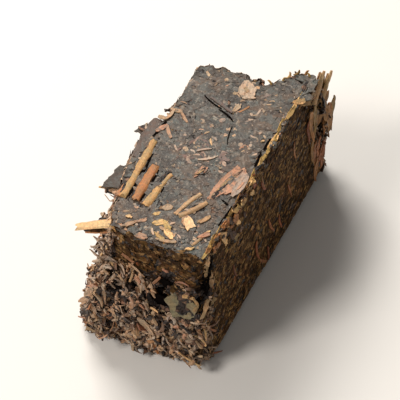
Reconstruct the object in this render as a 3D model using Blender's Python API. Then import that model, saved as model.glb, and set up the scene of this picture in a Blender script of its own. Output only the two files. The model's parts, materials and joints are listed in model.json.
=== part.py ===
"""Dark tea brick: a chunk broken off a pressed block of dark tea, with no dish.

Metres, +Z up. The chunk rests on its flat underside. Its pressed top (+Z) and pressed
side (+X) stay nearly flat. The near end (-Y), the far end (+Y) and the left side (-X) are
broken, so they have crags, and curled leaves and stems stick out of them. The leaves and
stems are closed thin solids that one Boolean union joins to the core.
"""

import math
import random

import bmesh
import bpy
from mathutils import Matrix, Vector, noise

MM = 0.001
NODE = "tea_brick"

# Driving dimensions of the chunk. It is modelled from the upright edge where the pressed
# side meets the near end, which stands at X 0 and Y 0 until the last step. That step moves
# the edge to DATUM, so that the origin is under the middle of the chunk.
HEIGHT = 59 * MM
TOP_LENGTH = 76 * MM
TOP_WIDTH = 36 * MM
DATUM = Vector((22.9, -43.7, 0)) * MM

# Width of the top, by the distance from the near end. The step at 41 to 45 mm is a chip
# that has come away from the left edge.
TOP_WIDTHS = ((0, 31.7), (13, 36.0), (28, 39.2), (41.4, 40.5), (44.7, 35.6), (71, 36.6))

# Length of the top, by the distance from the pressed side. The last 10 mm stand further
# out at the far right corner.
TOP_LENGTHS = ((0, 80.3), (5.2, 82.3), (11.3, 72.8), (27.3, 72.8), (36.6, 71.4))

# How far each broken side leans out from the top to the underside
LEFT_LEAN_NEAR = 16 * MM
LEFT_LEAN_FAR = 5 * MM
FAR_LEAN_LEFT = 7 * MM
FAR_LEAN_RIGHT = 15 * MM
NEAR_BULGE_LEFT = 6 * MM
NEAR_BULGE_RIGHT = 1.5 * MM
UNDERSIDE_TRIM = 1.8 * MM
EDGE_WEAR = 0.6 * MM
CORNER_WEAR = 2.2 * MM
CORNER_REACH = 6 * MM

# Relief: how deep the crags of the broken sides are, and how uneven a pressed side is
CRAG = 2.1 * MM
CRAG_SPACING = 5.5 * MM
PRESSED = 0.35 * MM
PRESSED_SPACING = 9 * MM
SKIN = 3 * MM
NEAR_SKIN = 17 * MM

# Slices of the core along X, Y and Z
SLICES = (9, 20, 14)

# Leaves and stems, with lengths, widths and radii from the least to the greatest
LEAF_LENGTHS = (7 * MM, 13 * MM)
LEAF_WIDTHS = (2.4 * MM, 5.0 * MM)
LEAF_THICKNESS = 0.9 * MM
WIDE_LEAF = 3.8 * MM
STEM_LENGTHS = (8 * MM, 13 * MM)
STEM_RADII = (0.7 * MM, 1.0 * MM)
STEM_SHARE = 0.2
STEM_SIDES = 5
LOWEST_LEAF = 0.7 * MM

TEA_COLOUR = (0.060, 0.036, 0.020, 1.0)
TEA_ROUGHNESS = 0.72


def along(points, place):
    """The value at a place on a line of (place, value) points, all in millimetres."""
    millimetres = place / MM
    if millimetres <= points[0][0]:
        return points[0][1] * MM
    for (start, low), (end, high) in zip(points, points[1:]):
        if millimetres <= end:
            part = (millimetres - start) / (end - start)
            return (low + (high - low) * part) * MM
    return points[-1][1] * MM


def mix(low, high, part):
    return low + (high - low) * part


def ease(value):
    """A smooth step from 0 to 1."""
    value = min(max(value, 0.0), 1.0)
    return value * value * (3.0 - 2.0 * value)


# The core ------------------------------------------------------------------------------

def smooth_place(u, v, w):
    """A point of the core without its relief. u, v and w run 0 to 1 along X, Y and Z."""
    down = 1.0 - w
    width_here = along(TOP_WIDTHS, v * TOP_LENGTH)
    from_right = (1.0 - u) * width_here
    far = along(TOP_LENGTHS, from_right)
    far += mix(FAR_LEAN_LEFT, FAR_LEAN_RIGHT, u) * down
    bulge = mix(NEAR_BULGE_LEFT, NEAR_BULGE_RIGHT, u)
    near = -bulge * ease((HEIGHT * down - NEAR_SKIN) / (8 * MM))
    y = mix(near, far, v)
    width = along(TOP_WIDTHS, y) + mix(LEFT_LEAN_NEAR, LEFT_LEAN_FAR, v) * down ** 1.2
    x = -(1.0 - u) * width
    return Vector((x, y, HEIGHT * w))


def crags(place):
    """Relief of a broken side, from about -1 to 1: leaf-sized plates with cracks between."""
    distances, _ = noise.voronoi(place / CRAG_SPACING)
    plates = min(distances[1] - distances[0], 0.6) / 0.6
    swell = noise.noise(place / (2.6 * CRAG_SPACING))
    return 1.1 * plates - 0.75 + 0.9 * swell


def relief(place, side, w):
    """How far a side's surface stands out from its smooth place."""
    pressed = PRESSED * noise.noise(place / PRESSED_SPACING)
    if side == "right":
        loose = ease((0.12 - w) / 0.12)
        return pressed + 0.4 * MM * loose * noise.noise(place / (3 * MM))
    depth = HEIGHT * (1.0 - w)
    skin = NEAR_SKIN if side == "near" else SKIN
    broken = ease((depth - skin) / (6 * MM))
    return mix(pressed, CRAG * crags(place), broken)


SIDE_NORMALS = {
    "left": Vector((-1, 0, 0)),
    "right": Vector((1, 0, 0)),
    "near": Vector((0, -1, 0)),
    "far": Vector((0, 1, 0)),
}


def sides_of(u, v):
    """The upright sides that a point of the unit cube lies on."""
    tests = {"left": u < 1e-4, "right": u > 1 - 1e-4, "near": v < 1e-4, "far": v > 1 - 1e-4}
    return [side for side, lies in tests.items() if lies]


def core_place(u, v, w):
    """A point of the core with its relief, its worn edges and its trimmed underside."""
    place = smooth_place(u, v, w)
    moved = place.copy()
    sides = sides_of(u, v)
    inward = Vector((0, 0, 0))
    for side in sides:
        moved += SIDE_NORMALS[side] * relief(place, side, w)
        inward -= SIDE_NORMALS[side]
    across = min(u, 1 - u) * TOP_WIDTH
    lengthways = min(v, 1 - v) * TOP_LENGTH
    corner = max(0.0, 1.0 - (across + lengthways) / CORNER_REACH)
    if sides:
        loose = ease((1.0 - w) * HEIGHT / (5 * MM))
        moved += inward * CORNER_WEAR * corner ** 2 * loose
        if w > 1 - 1e-4:
            moved += inward * EDGE_WEAR * 0.5
            moved.z -= EDGE_WEAR
        if w < 1e-4:
            moved += inward * UNDERSIDE_TRIM
    elif w > 1 - 1e-4:
        moved.z += PRESSED * noise.noise(place / PRESSED_SPACING)
    return moved


def slice_box(mesh, axis, count):
    """Cut a unit box into equal slices along one axis."""
    normal = Vector((0, 0, 0))
    normal[axis] = 1
    for index in range(1, count):
        parts = mesh.verts[:] + mesh.edges[:] + mesh.faces[:]
        bmesh.ops.bisect_plane(mesh, geom=parts, dist=1e-6, plane_co=normal * index / count,
                               plane_no=normal)


def core_mesh():
    """The core: a sliced box whose points are moved to the chunk's own shape."""
    mesh = bmesh.new()
    bmesh.ops.create_cube(mesh, size=1, matrix=Matrix.Translation((0.5, 0.5, 0.5)))
    for axis, count in enumerate(SLICES):
        slice_box(mesh, axis, count)
    bmesh.ops.triangulate(mesh, faces=mesh.faces[:])
    for point in mesh.verts:
        point.co = core_place(*point.co)
    return mesh


def on_side(side, along_side, up):
    """A point of a side and the direction that the side faces there."""
    squares = {
        "left": lambda a, b: (0.0, a, b),
        "near": lambda a, b: (a, 0.0, b),
        "far": lambda a, b: (a, 1.0, b),
    }
    spot = squares[side]
    step = 0.04
    place = core_place(*spot(along_side, up))
    before, after = (core_place(*spot(along_side + move, up)) for move in (-step, step))
    under, over = (core_place(*spot(along_side, up + move)) for move in (-step, step))
    facing = (after - before).cross(over - under).normalized()
    if facing.dot(SIDE_NORMALS[side]) < 0:
        facing.negate()
    return place, facing


# Leaves and stems ----------------------------------------------------------------------

def strip_grid(rows, columns, surface, thickness):
    """A closed thin solid over a grid of points, both faces split into triangles alike."""
    mesh = bmesh.new()
    faces = []
    for sign in (1, -1):
        grid = []
        for row in range(rows + 1):
            line = []
            for column in range(columns + 1):
                place, normal = surface(row / rows, column / columns)
                line.append(mesh.verts.new(place + normal * (sign * thickness / 2)))
            grid.append(line)
        faces.append(grid)
    upper, lower = faces
    for row in range(rows):
        for column in range(columns):
            for grid, turned in ((upper, False), (lower, True)):
                a, b = grid[row][column], grid[row + 1][column]
                c, d = grid[row + 1][column + 1], grid[row][column + 1]
                for corners in ((a, b, c), (a, c, d)):
                    mesh.faces.new(corners[::-1] if turned else corners)
    rim = [(row, 0) for row in range(rows)]
    rim += [(rows, column) for column in range(columns)]
    rim += [(row, columns) for row in range(rows, 0, -1)]
    rim += [(0, column) for column in range(columns, 0, -1)]
    for (row, column), (next_row, next_column) in zip(rim, rim[1:] + rim[:1]):
        a, b = upper[row][column], upper[next_row][next_column]
        c, d = lower[next_row][next_column], lower[row][column]
        mesh.faces.new((a, c, b))
        mesh.faces.new((a, d, c))
    bmesh.ops.recalc_face_normals(mesh, faces=mesh.faces[:])
    return mesh


def leaf_mesh(size, curl, twist, cup, chance, cells=(4, 2), thickness=LEAF_THICKNESS):
    """A leaf: a strip along X that curls, twists and cups, with an uneven outline."""
    length, width = size
    rows, columns = cells
    uneven = [chance.uniform(0.78, 1.12) for _ in range(rows + 1)]
    sway = [chance.uniform(-0.12, 0.12) * width for _ in range(rows + 1)]

    def surface(row, column):
        along_leaf = row - 0.5
        step = round(row * rows)
        turn = curl * along_leaf
        if abs(curl) > 0.05:
            middle = Vector((math.sin(turn), 0, 1 - math.cos(turn))) * (length / curl)
        else:
            middle = Vector((length * along_leaf, 0, 0))
        taper = 1 - 0.6 * abs(2 * along_leaf) ** 2.5
        half = width / 2 * taper * uneven[step]
        across = (2 * column - 1) * half
        roll = twist * along_leaf
        forward = Vector((math.cos(turn), 0, math.sin(turn)))
        upright = Vector((-math.sin(turn), 0, math.cos(turn)))
        sideways = Vector((0, math.cos(roll), 0)) + upright * math.sin(roll)
        normal = forward.cross(sideways).normalized()
        lift = cup * (2 * column - 1) ** 2 * width
        return middle + sideways * (across + sway[step]) + normal * lift, normal

    return strip_grid(rows, columns, surface, thickness)


def stem_mesh(length, radius, bend, chance, joints=2):
    """A piece of stem along X: a prism with a slight bend and uneven joints."""
    mesh = bmesh.new()
    rings = []
    for joint in range(joints + 1):
        part = joint / joints - 0.5
        swell = radius * chance.uniform(0.85, 1.12)
        middle = Vector((length * part, 0, bend * length * (0.25 - part * part)))
        ring = []
        for side in range(STEM_SIDES):
            angle = 2 * math.pi * side / STEM_SIDES
            around = Vector((0, math.cos(angle), math.sin(angle)))
            ring.append(mesh.verts.new(middle + around * swell))
        rings.append(ring)
    for ring, following in zip(rings, rings[1:]):
        for side in range(STEM_SIDES):
            next_side = (side + 1) % STEM_SIDES
            corners = (ring[side], ring[next_side], following[next_side], following[side])
            mesh.faces.new(corners)
    mesh.faces.new(rings[0][::-1])
    mesh.faces.new(rings[-1])
    bmesh.ops.triangulate(mesh, faces=mesh.faces[:])
    bmesh.ops.recalc_face_normals(mesh, faces=mesh.faces[:])
    return mesh


def frame_at(place, direction, facing):
    """The matrix that lays a piece's X along a direction, with its Z facing outwards."""
    forward = direction.normalized()
    sideways = facing.cross(forward).normalized()
    outward = forward.cross(sideways)
    matrix = Matrix((forward, sideways, outward)).transposed().to_4x4()
    matrix.translation = place
    return matrix


def lay(pieces, mesh, matrix):
    """Add a piece to the union's collection, unless it reaches too close to the ground."""
    mesh.transform(matrix)
    if min(point.co.z for point in mesh.verts) > LOWEST_LEAF:
        data = bpy.data.meshes.new("piece")
        mesh.to_mesh(data)
        pieces.objects.link(bpy.data.objects.new("piece", data))
    mesh.free()


def leaves_on_side(pieces, side, count, low, high, chance, upright=0.0):
    """Spread curled leaves and a few stems over a broken side, evenly, each one turned."""
    columns, rows = count
    for column in range(columns):
        for row in range(rows):
            a = (column + chance.uniform(0.15, 0.85)) / columns
            b = mix(low, high, (row + chance.uniform(0.15, 0.85)) / rows)
            a = min(max(a, 0.05), 0.95)
            b = min(max(b, 0.05), 0.95)
            place, facing = on_side(side, a, b)
            level = facing.cross(Vector((0, 0, 1))).normalized()
            turn = chance.uniform(-1.5, 1.5) * (1 - upright) + upright * chance.gauss(1.5, 0.3)
            direction = level * math.cos(turn) + Vector((0, 0, 1)) * math.sin(turn)
            lift = chance.uniform(-0.75, 0.75)
            direction = direction + facing * lift
            tilted = facing + level * chance.uniform(-0.6, 0.6)
            matrix = frame_at(place + facing * 0.4 * MM, direction, tilted)
            if chance.random() < STEM_SHARE:
                length = chance.uniform(*STEM_LENGTHS)
                mesh = stem_mesh(length, chance.uniform(*STEM_RADII), 0.15, chance)
            else:
                size = (chance.uniform(*LEAF_LENGTHS), chance.uniform(*LEAF_WIDTHS))
                curl = chance.uniform(-1.6, 1.9)
                twist = chance.uniform(-0.9, 0.9)
                cells = (3, 2) if size[1] > WIDE_LEAF else (3, 1)
                cup = chance.uniform(-0.2, 0.25)
                mesh = leaf_mesh(size, curl, twist, cup, chance, cells)
            lay(pieces, mesh, matrix)


def top_stems(pieces, chance):
    """The stems and leaf flakes pressed into the top, by their distances from the datum.

    Each row: from the pressed side, from the near end, length, width, and the degrees
    that it turns from the long direction towards the pressed side, in millimetres.
    """
    rows = (
        (34.8, 24.1, 23.0, 2.6, -1),
        (30.3, 20.1, 14.5, 2.8, 4),
        (25.3, 19.4, 14.0, 2.2, 2),
        (14.2, 17.9, 10.0, 1.6, 20),
        (11.0, 17.0, 10.0, 1.9, 28),
        (9.2, 10.2, 4.2, 2.4, 80),
        (5.9, 30.0, 15.6, 3.6, 18),
        (15.6, 30.8, 4.6, 2.0, 24),
    )
    for from_right, from_near, length, width, degrees in rows:
        turn = math.radians(degrees)
        direction = Vector((math.sin(turn), math.cos(turn), 0))
        place = Vector((-from_right * MM, from_near * MM, HEIGHT + 0.1 * MM))
        size = (length * MM, width * MM)
        mesh = leaf_mesh(size, 0.1, 0.1, -0.12, chance, cells=(4, 2), thickness=1.1 * MM)
        lay(pieces, mesh, frame_at(place, direction, Vector((0, 0, 1))))


def rim_chips(pieces, count, chance):
    """Small chips that stand up along the broken edge between the top and the pressed side."""
    for index in range(count):
        from_near = mix(1, 78, (index + chance.uniform(0.0, 1.0)) / count) * MM
        down = chance.uniform(0.0, 1.2) * MM
        place = Vector((-0.3 * MM, from_near, HEIGHT - down))
        direction = Vector((chance.uniform(-0.3, 0.3), 1, chance.uniform(-0.45, 0.45)))
        facing = Vector((chance.uniform(0.2, 1.0), 0, chance.uniform(0.2, 1.0)))
        size = (chance.uniform(2.5, 9.0) * MM, chance.uniform(1.2, 2.6) * MM)
        mesh = leaf_mesh(size, chance.uniform(-0.7, 0.7), 0.4, 0.1, chance, cells=(3, 1))
        lay(pieces, mesh, frame_at(place, direction, facing))


def far_corner_strips(pieces, count, chance):
    """Long leaves that peel away from the far right corner and bow outwards."""
    for index in range(count):
        part = index / (count - 1)
        place, _ = on_side("far", mix(0.80, 0.96, part), mix(0.42, 0.74, (index % 3) / 2))
        place += Vector((mix(0.0, 3.8, part), mix(4.0, 2.0, part), 0)) * MM
        direction = Vector((chance.uniform(-0.05, 0.15), chance.uniform(-0.35, 0.0), 1))
        facing = Vector((mix(-0.5, -1.0, part), -1, 0))
        size = (chance.uniform(22, 32) * MM, chance.uniform(2.6, 3.8) * MM)
        mesh = leaf_mesh(size, chance.uniform(0.7, 1.1), 0.5, 0.1, chance, cells=(6, 1))
        lay(pieces, mesh, frame_at(place, direction, facing))


def far_edge_curls(pieces, count, chance):
    """Short curls and twigs that rise a little over the far edge of the top."""
    for index in range(count):
        a = mix(0.12, 0.92, index / (count - 1))
        place, facing = on_side("far", a, 0.95)
        place += facing * 0.6 * MM
        direction = Vector((chance.uniform(-0.6, 0.6), chance.uniform(0.1, 0.5), 1))
        size = (chance.uniform(5.5, 8.0) * MM, chance.uniform(1.5, 2.4) * MM)
        mesh = leaf_mesh(size, chance.uniform(1.2, 2.2), 0.5, 0.15, chance, cells=(4, 1))
        lay(pieces, mesh, frame_at(place, direction, -facing))


def left_flakes(pieces, chance):
    """Flat flakes that stick out under the left edge, and one stem near the near end.

    Each row: from the near end, below the top, reach, width, in millimetres.
    """
    rows = (
        (16.5, 4.5, 11.0, 6.5),
        (24.0, 7.5, 10.0, 5.0),
        (42.0, 3.5, 6.0, 4.0),
        (10.0, 12.0, 10.0, 5.0),
        (58.0, 9.0, 7.0, 4.0),
    )
    for from_near, below, reach, width in rows:
        x = -along(TOP_WIDTHS, from_near * MM) - 1.0 * MM
        place = Vector((x, from_near * MM, HEIGHT - below * MM))
        direction = Vector((-1, chance.uniform(-0.5, 0.2), chance.uniform(-0.35, 0.05)))
        size = (reach * MM, width * MM)
        mesh = leaf_mesh(size, -0.5, 0.3, 0.1, chance)
        lay(pieces, mesh, frame_at(place, direction, Vector((0, 0, 1))))
    place = Vector((-35.0 * MM, 3.5 * MM, HEIGHT - 6.5 * MM))
    mesh = stem_mesh(17 * MM, 1.2 * MM, 0.05, chance)
    lay(pieces, mesh, frame_at(place, Vector((-1, -0.25, -0.30)), Vector((0, 0, 1))))


# Joining -------------------------------------------------------------------------------

def keep_largest_body(mesh):
    """Drop loose scraps, and fill hollows that the union sealed, by keeping one shell."""
    mesh.verts.ensure_lookup_table()
    unseen = set(mesh.verts)
    shells = []
    while unseen:
        start = unseen.pop()
        shell, front = [start], [start]
        while front:
            point = front.pop()
            for edge in point.link_edges:
                other = edge.other_vert(point)
                if other in unseen:
                    unseen.remove(other)
                    shell.append(other)
                    front.append(other)
        shells.append(shell)
    shells.sort(key=len)
    scraps = [point for shell in shells[:-1] for point in shell]
    bmesh.ops.delete(mesh, geom=scraps, context="VERTS")


def join(core, pieces):
    """One Boolean union of the core with every leaf and stem, applied."""
    union = core.modifiers.new("leaves", "BOOLEAN")
    union.operation = "UNION"
    union.operand_type = "COLLECTION"
    union.collection = pieces
    union.solver = "MANIFOLD"
    graph = bpy.context.evaluated_depsgraph_get()
    mesh = bmesh.new()
    mesh.from_mesh(core.evaluated_get(graph).to_mesh())
    core.modifiers.remove(union)
    for piece in list(pieces.objects):
        bpy.data.objects.remove(piece)
    bpy.data.collections.remove(pieces)
    bmesh.ops.triangulate(mesh, faces=mesh.faces[:])
    keep_largest_body(mesh)
    mesh.transform(Matrix.Translation(DATUM))
    mesh.to_mesh(core.data)
    mesh.free()


def tea_material():
    material = bpy.data.materials.new("pressed_dark_tea")
    material.use_nodes = True
    shader = material.node_tree.nodes["Principled BSDF"]
    shader.inputs["Base Color"].default_value = TEA_COLOUR
    shader.inputs["Roughness"].default_value = TEA_ROUGHNESS
    shader.inputs["Metallic"].default_value = 0.0
    return material


def tea_brick():
    """The whole chunk as one solid."""
    data = bpy.data.meshes.new(NODE)
    core = bpy.data.objects.new(NODE, data)
    bpy.context.scene.collection.objects.link(core)
    mesh = core_mesh()
    mesh.to_mesh(data)
    mesh.free()

    pieces = bpy.data.collections.new("leaves_and_stems")
    bpy.context.scene.collection.children.link(pieces)
    chance = random.Random(17)
    leaves_on_side(pieces, "near", (6, 5), 0.10, 0.70, chance)
    leaves_on_side(pieces, "left", (7, 4), 0.12, 0.88, chance)
    leaves_on_side(pieces, "far", (5, 5), 0.10, 0.90, chance, upright=0.6)
    top_stems(pieces, chance)
    rim_chips(pieces, 16, chance)
    far_corner_strips(pieces, 9, chance)
    far_edge_curls(pieces, 8, chance)
    left_flakes(pieces, chance)
    join(core, pieces)
    data.materials.append(tea_material())
    return core


def main():
    for old in list(bpy.data.objects):
        bpy.data.objects.remove(old)
    tea_brick()


main()
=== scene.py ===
"""The looks of a chunk of dark tea brick: pressed leaf faces, broken sides and stems.

Metres, +Z up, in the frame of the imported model. Tables give sizes in millimetres, and MM
turns them to metres.
"""
import json
import math
import random
from dataclasses import dataclass

import bpy
from bpy.props import FloatProperty, FloatVectorProperty, PointerProperty
from mathutils import Matrix, Vector

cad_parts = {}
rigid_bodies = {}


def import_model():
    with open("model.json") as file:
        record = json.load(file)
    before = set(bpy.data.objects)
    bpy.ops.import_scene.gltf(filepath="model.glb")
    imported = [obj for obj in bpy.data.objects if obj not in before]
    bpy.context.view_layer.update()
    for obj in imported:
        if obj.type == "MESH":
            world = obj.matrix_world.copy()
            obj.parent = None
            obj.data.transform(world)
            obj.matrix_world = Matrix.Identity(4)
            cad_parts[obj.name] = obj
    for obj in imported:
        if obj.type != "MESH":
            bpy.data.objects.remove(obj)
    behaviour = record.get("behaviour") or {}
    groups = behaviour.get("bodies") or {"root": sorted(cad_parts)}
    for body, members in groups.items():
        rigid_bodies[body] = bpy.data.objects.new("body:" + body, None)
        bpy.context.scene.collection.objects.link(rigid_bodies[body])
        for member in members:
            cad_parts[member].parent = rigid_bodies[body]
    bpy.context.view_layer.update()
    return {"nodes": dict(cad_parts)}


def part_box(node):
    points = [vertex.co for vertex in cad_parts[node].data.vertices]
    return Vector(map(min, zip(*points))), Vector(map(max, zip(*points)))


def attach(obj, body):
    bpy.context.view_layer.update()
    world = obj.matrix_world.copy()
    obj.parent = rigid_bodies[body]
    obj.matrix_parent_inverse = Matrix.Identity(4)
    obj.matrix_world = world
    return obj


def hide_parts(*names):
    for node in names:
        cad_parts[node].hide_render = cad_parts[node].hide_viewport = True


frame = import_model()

bl_info = {
    "name": "Dark tea brick",
    "version": (1, 0, 0),
    "blender": (4, 5, 0),
    "location": "3D View > Sidebar > Tea brick",
    "description": "Builds a broken chunk of pressed dark tea around its packed solid",
    "category": "Object",
}

MM = 0.001
NODE = "tea_brick"
BODY = "root"

LOW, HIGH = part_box(NODE)

# The corner where the pressed side, the near end and the pressed top meet. Loose leaves
# make the solid's box larger than that corner by these distances.
CORNER = Vector((HIGH.x - 3.7 * MM, LOW.y + 9.0 * MM, HIGH.z - 1.5 * MM))

# The directions in which the top, the near end, the far end, the left side, the pressed side
# and the edge between the top and the pressed side face
UP = (0, 0, 1)
OUT_NEAR = (0, -1, 0)
OUT_FAR = (0, 1, 0)
OUT_LEFT = (-1, 0, 0)
OUT_RIGHT = (1, 0, 0)
OUTWARDS = (0.6, -0.4, 0.8)

# Where the camera fitted to the chunk in the photograph stands
CAMERA_PLACE = Vector((207.4, -370.5, 566.5)) * MM


def linear(code):
    """An sRGB hex colour such as #7a5c3e as linear red, green, blue and alpha."""
    values = [int(code[place:place + 2], 16) / 255 for place in (1, 3, 5)]
    curve = [v / 12.92 if v <= 0.04045 else ((v + 0.055) / 1.055) ** 2.4 for v in values]
    return (*curve, 1.0)


def colour(name, description, code):
    """A colour property whose default is an sRGB hex colour."""
    return FloatVectorProperty(name=name, description=description, subtype="COLOR", size=4,
                               min=0, max=1, default=linear(code))


# Properties ----------------------------------------------------------------------------

class TeaBrickSizes(bpy.types.PropertyGroup):
    """Sizes that a user would change, in metres."""
    grain: FloatProperty(
        name="Core grain", description="Cell size of the core's surface",
        default=0.62 * MM, min=0.3 * MM, unit="LENGTH")
    pressed_leaf: FloatProperty(
        name="Pressed leaf length", description="Length of a leaf pressed into a face",
        default=11 * MM, min=1 * MM, unit="LENGTH")
    strand: FloatProperty(
        name="Strand length", description="Length of a rolled leaf in a broken side",
        default=7.5 * MM, min=1 * MM, unit="LENGTH")
    stem: FloatProperty(
        name="Loose stem length", description="Length of a loose stem in a broken side",
        default=9 * MM, min=1 * MM, unit="LENGTH")


class TeaBrickColours(bpy.types.PropertyGroup):
    """Colours that a user would change."""
    # Painted shade: the near-black colour of strips laid where cracks, hollows and the sides of stems
    # lie in deep shade
    painted_crevice_shade: colour("Crevice", "Bottom of a crack between leaves", "#080403")
    mass: colour("Leaf mass", "Compressed leaf deep in the chunk", "#1b0f07")
    dark_leaf: colour("Dark leaf", "Fermented leaf, nearly black", "#2d1e15")
    brown_leaf: colour("Brown leaf", "Most of the loose leaves", "#83624c")
    # On the loose curls this grey, and the tan and pink leaf colours, stand partly for painted
    # highlights
    grey_leaf: colour("Grey leaf", "Loose leaf with a grey bloom", "#a8917e")
    top_dark: colour("Top, dark leaf", "Leaf of the pressed top, darkest", "#2e2721")
    top_leaf: colour("Top, leaf", "Most leaves of the pressed top", "#453b33")
    # Painted sheen: grey patches that stand for the satin reflection of the pressed top
    top_grey_sheen: colour("Top, bloom", "Grey bloom left by the press", "#4e504b")
    top_warm: colour("Top, warm", "Brown patches of the pressed top", "#5a4432")
    top_speck: colour("Top, speck", "Rubbed speck on the pressed top", "#867a6d")
    side_dark: colour("Side, dark leaf", "Leaf of the pressed side, darkest", "#30200f")
    side_leaf: colour("Side, leaf", "Most leaves of the pressed side", "#573a1f")
    side_speck: colour("Side, speck", "Ochre speck on the pressed side", "#9a7850")
    olive_leaf: colour("Olive leaf", "Less fermented leaf", "#745a33")
    green_leaf: colour("Green leaf", "Grey-green whole leaf", "#5e5a48")
    mauve_leaf: colour("Mauve leaf", "Leaf rubbed to a dull pink", "#6f564d")
    tan_leaf: colour("Tan leaf", "Pale vein side of a leaf", "#a48565")
    rust_leaf: colour("Rust leaf", "Reddish brown leaf", "#7d482f")
    pink_leaf: colour("Pink leaf", "Pinkish tan leaf", "#a4785f")
    rim_leaf: colour("Rim leaf", "Torn leaf edge, dry beige", "#9d834f")
    pale_stem: colour("Pale stem", "Woody stem, yellow tan", "#ab8657")
    straw: colour("Straw", "Palest wood of a split stem", "#dcb588")
    orange_stem: colour("Orange stem", "Woody stem, orange brown", "#9e6a40")
    floor: colour("Floor", "Plain pale floor", "#d9d6d1")


# Helpers -------------------------------------------------------------------------------

def deselect():
    """Deselect everything, because an operator acts on all that is selected."""
    for found in list(bpy.context.selected_objects):
        found.select_set(False)


def only(piece):
    """Select one object alone and make it active."""
    deselect()
    piece.select_set(True)
    bpy.context.view_layer.objects.active = piece
    return piece


def apply(piece, kind, **settings):
    """Give a piece a modifier with these settings, and apply it."""
    only(piece)
    made = piece.modifiers.new(kind.lower(), kind)
    for name, value in settings.items():
        setattr(made, name, value)
    bpy.ops.object.modifier_apply(modifier=made.name)
    return piece


def move(piece, matrix):
    """Move a piece by a matrix and bake its new place into the mesh."""
    piece.matrix_world = matrix.to_4x4() @ piece.matrix_world
    only(piece)
    bpy.ops.object.transform_apply(location=True, rotation=True, scale=True)
    return piece


def join(pieces):
    """Join pieces into the first of them."""
    deselect()
    for piece in pieces:
        piece.select_set(True)
    bpy.context.view_layer.objects.active = pieces[0]
    if len(pieces) > 1:
        bpy.ops.object.join()
    return bpy.context.view_layer.objects.active


def copy_of(piece):
    """A copy of a piece and its mesh, without a parent or marks."""
    made = piece.copy()
    made.data = piece.data.copy()
    made.parent = None
    made.hide_render = made.hide_viewport = False
    for key in list(made.keys()):
        del made[key]
    bpy.context.scene.collection.objects.link(made)
    return made


def add(tree, kind, inputs=None, stops=(), **settings):
    """Add a node with its settings, its inputs as values or links and, for a ramp, its
    colour stops, and return its outputs."""
    made = tree.nodes.new(kind)
    for name, value in settings.items():
        setattr(made, name, value)
    for socket, value in (inputs or {}).items():
        if isinstance(value, bpy.types.NodeSocket):
            tree.links.new(value, made.inputs[socket])
        else:
            made.inputs[socket].default_value = value
    if stops:
        elements = made.color_ramp.elements
        elements.remove(elements[1])
        elements[0].position, elements[0].color = stops[0]
        for place, code in stops[1:]:
            elements.new(place).color = code
    return made.outputs


def finish_piece(piece, name, material):
    """Name a finished piece, give it its material and let it ride on the chunk."""
    piece.name = piece.data.name = name
    piece.data.materials.clear()
    piece.data.materials.append(material)
    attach(piece, BODY)
    return piece


# Materials -----------------------------------------------------------------------------

def new_material(name, **constants):
    """A Principled material whose constant values are set on the shader itself."""
    material = bpy.data.materials.new(name)
    material.use_nodes = True
    shader = material.node_tree.nodes["Principled BSDF"]
    for socket, value in constants.items():
        shader.inputs[socket.replace("_", " ")].default_value = value
    return material, material.node_tree, shader


# Sockets of nodes are given by name, or by number where several share a name: a Map Range
# node takes its value at 0, from between 1 and 2 to between 3 and 4.

# The values between which most of a soft noise lies, and those where cool turns to warm
NOISE_LOW, NOISE_HIGH = 0.3, 0.7
COOL, WARM = 0.4, 0.6
NOISE_ROUGHNESS = 0.65

# The least and the greatest brightness of a whole leaf, how far its pattern is shifted
# against those of the others, and the share of the speckle in its relief
DULL, BRIGHT = 0.8, 1.2
SHIFT = 90.0
SPECKLE_RELIEF = 0.5

# Sizes of the speckle and of the cooler and warmer patches on every leaf, and of the plates
# of leaf in the compressed mass
SPECKLE = 0.8 * MM
PATCH = 2.2 * MM
PLATE = 1.6 * MM


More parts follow.
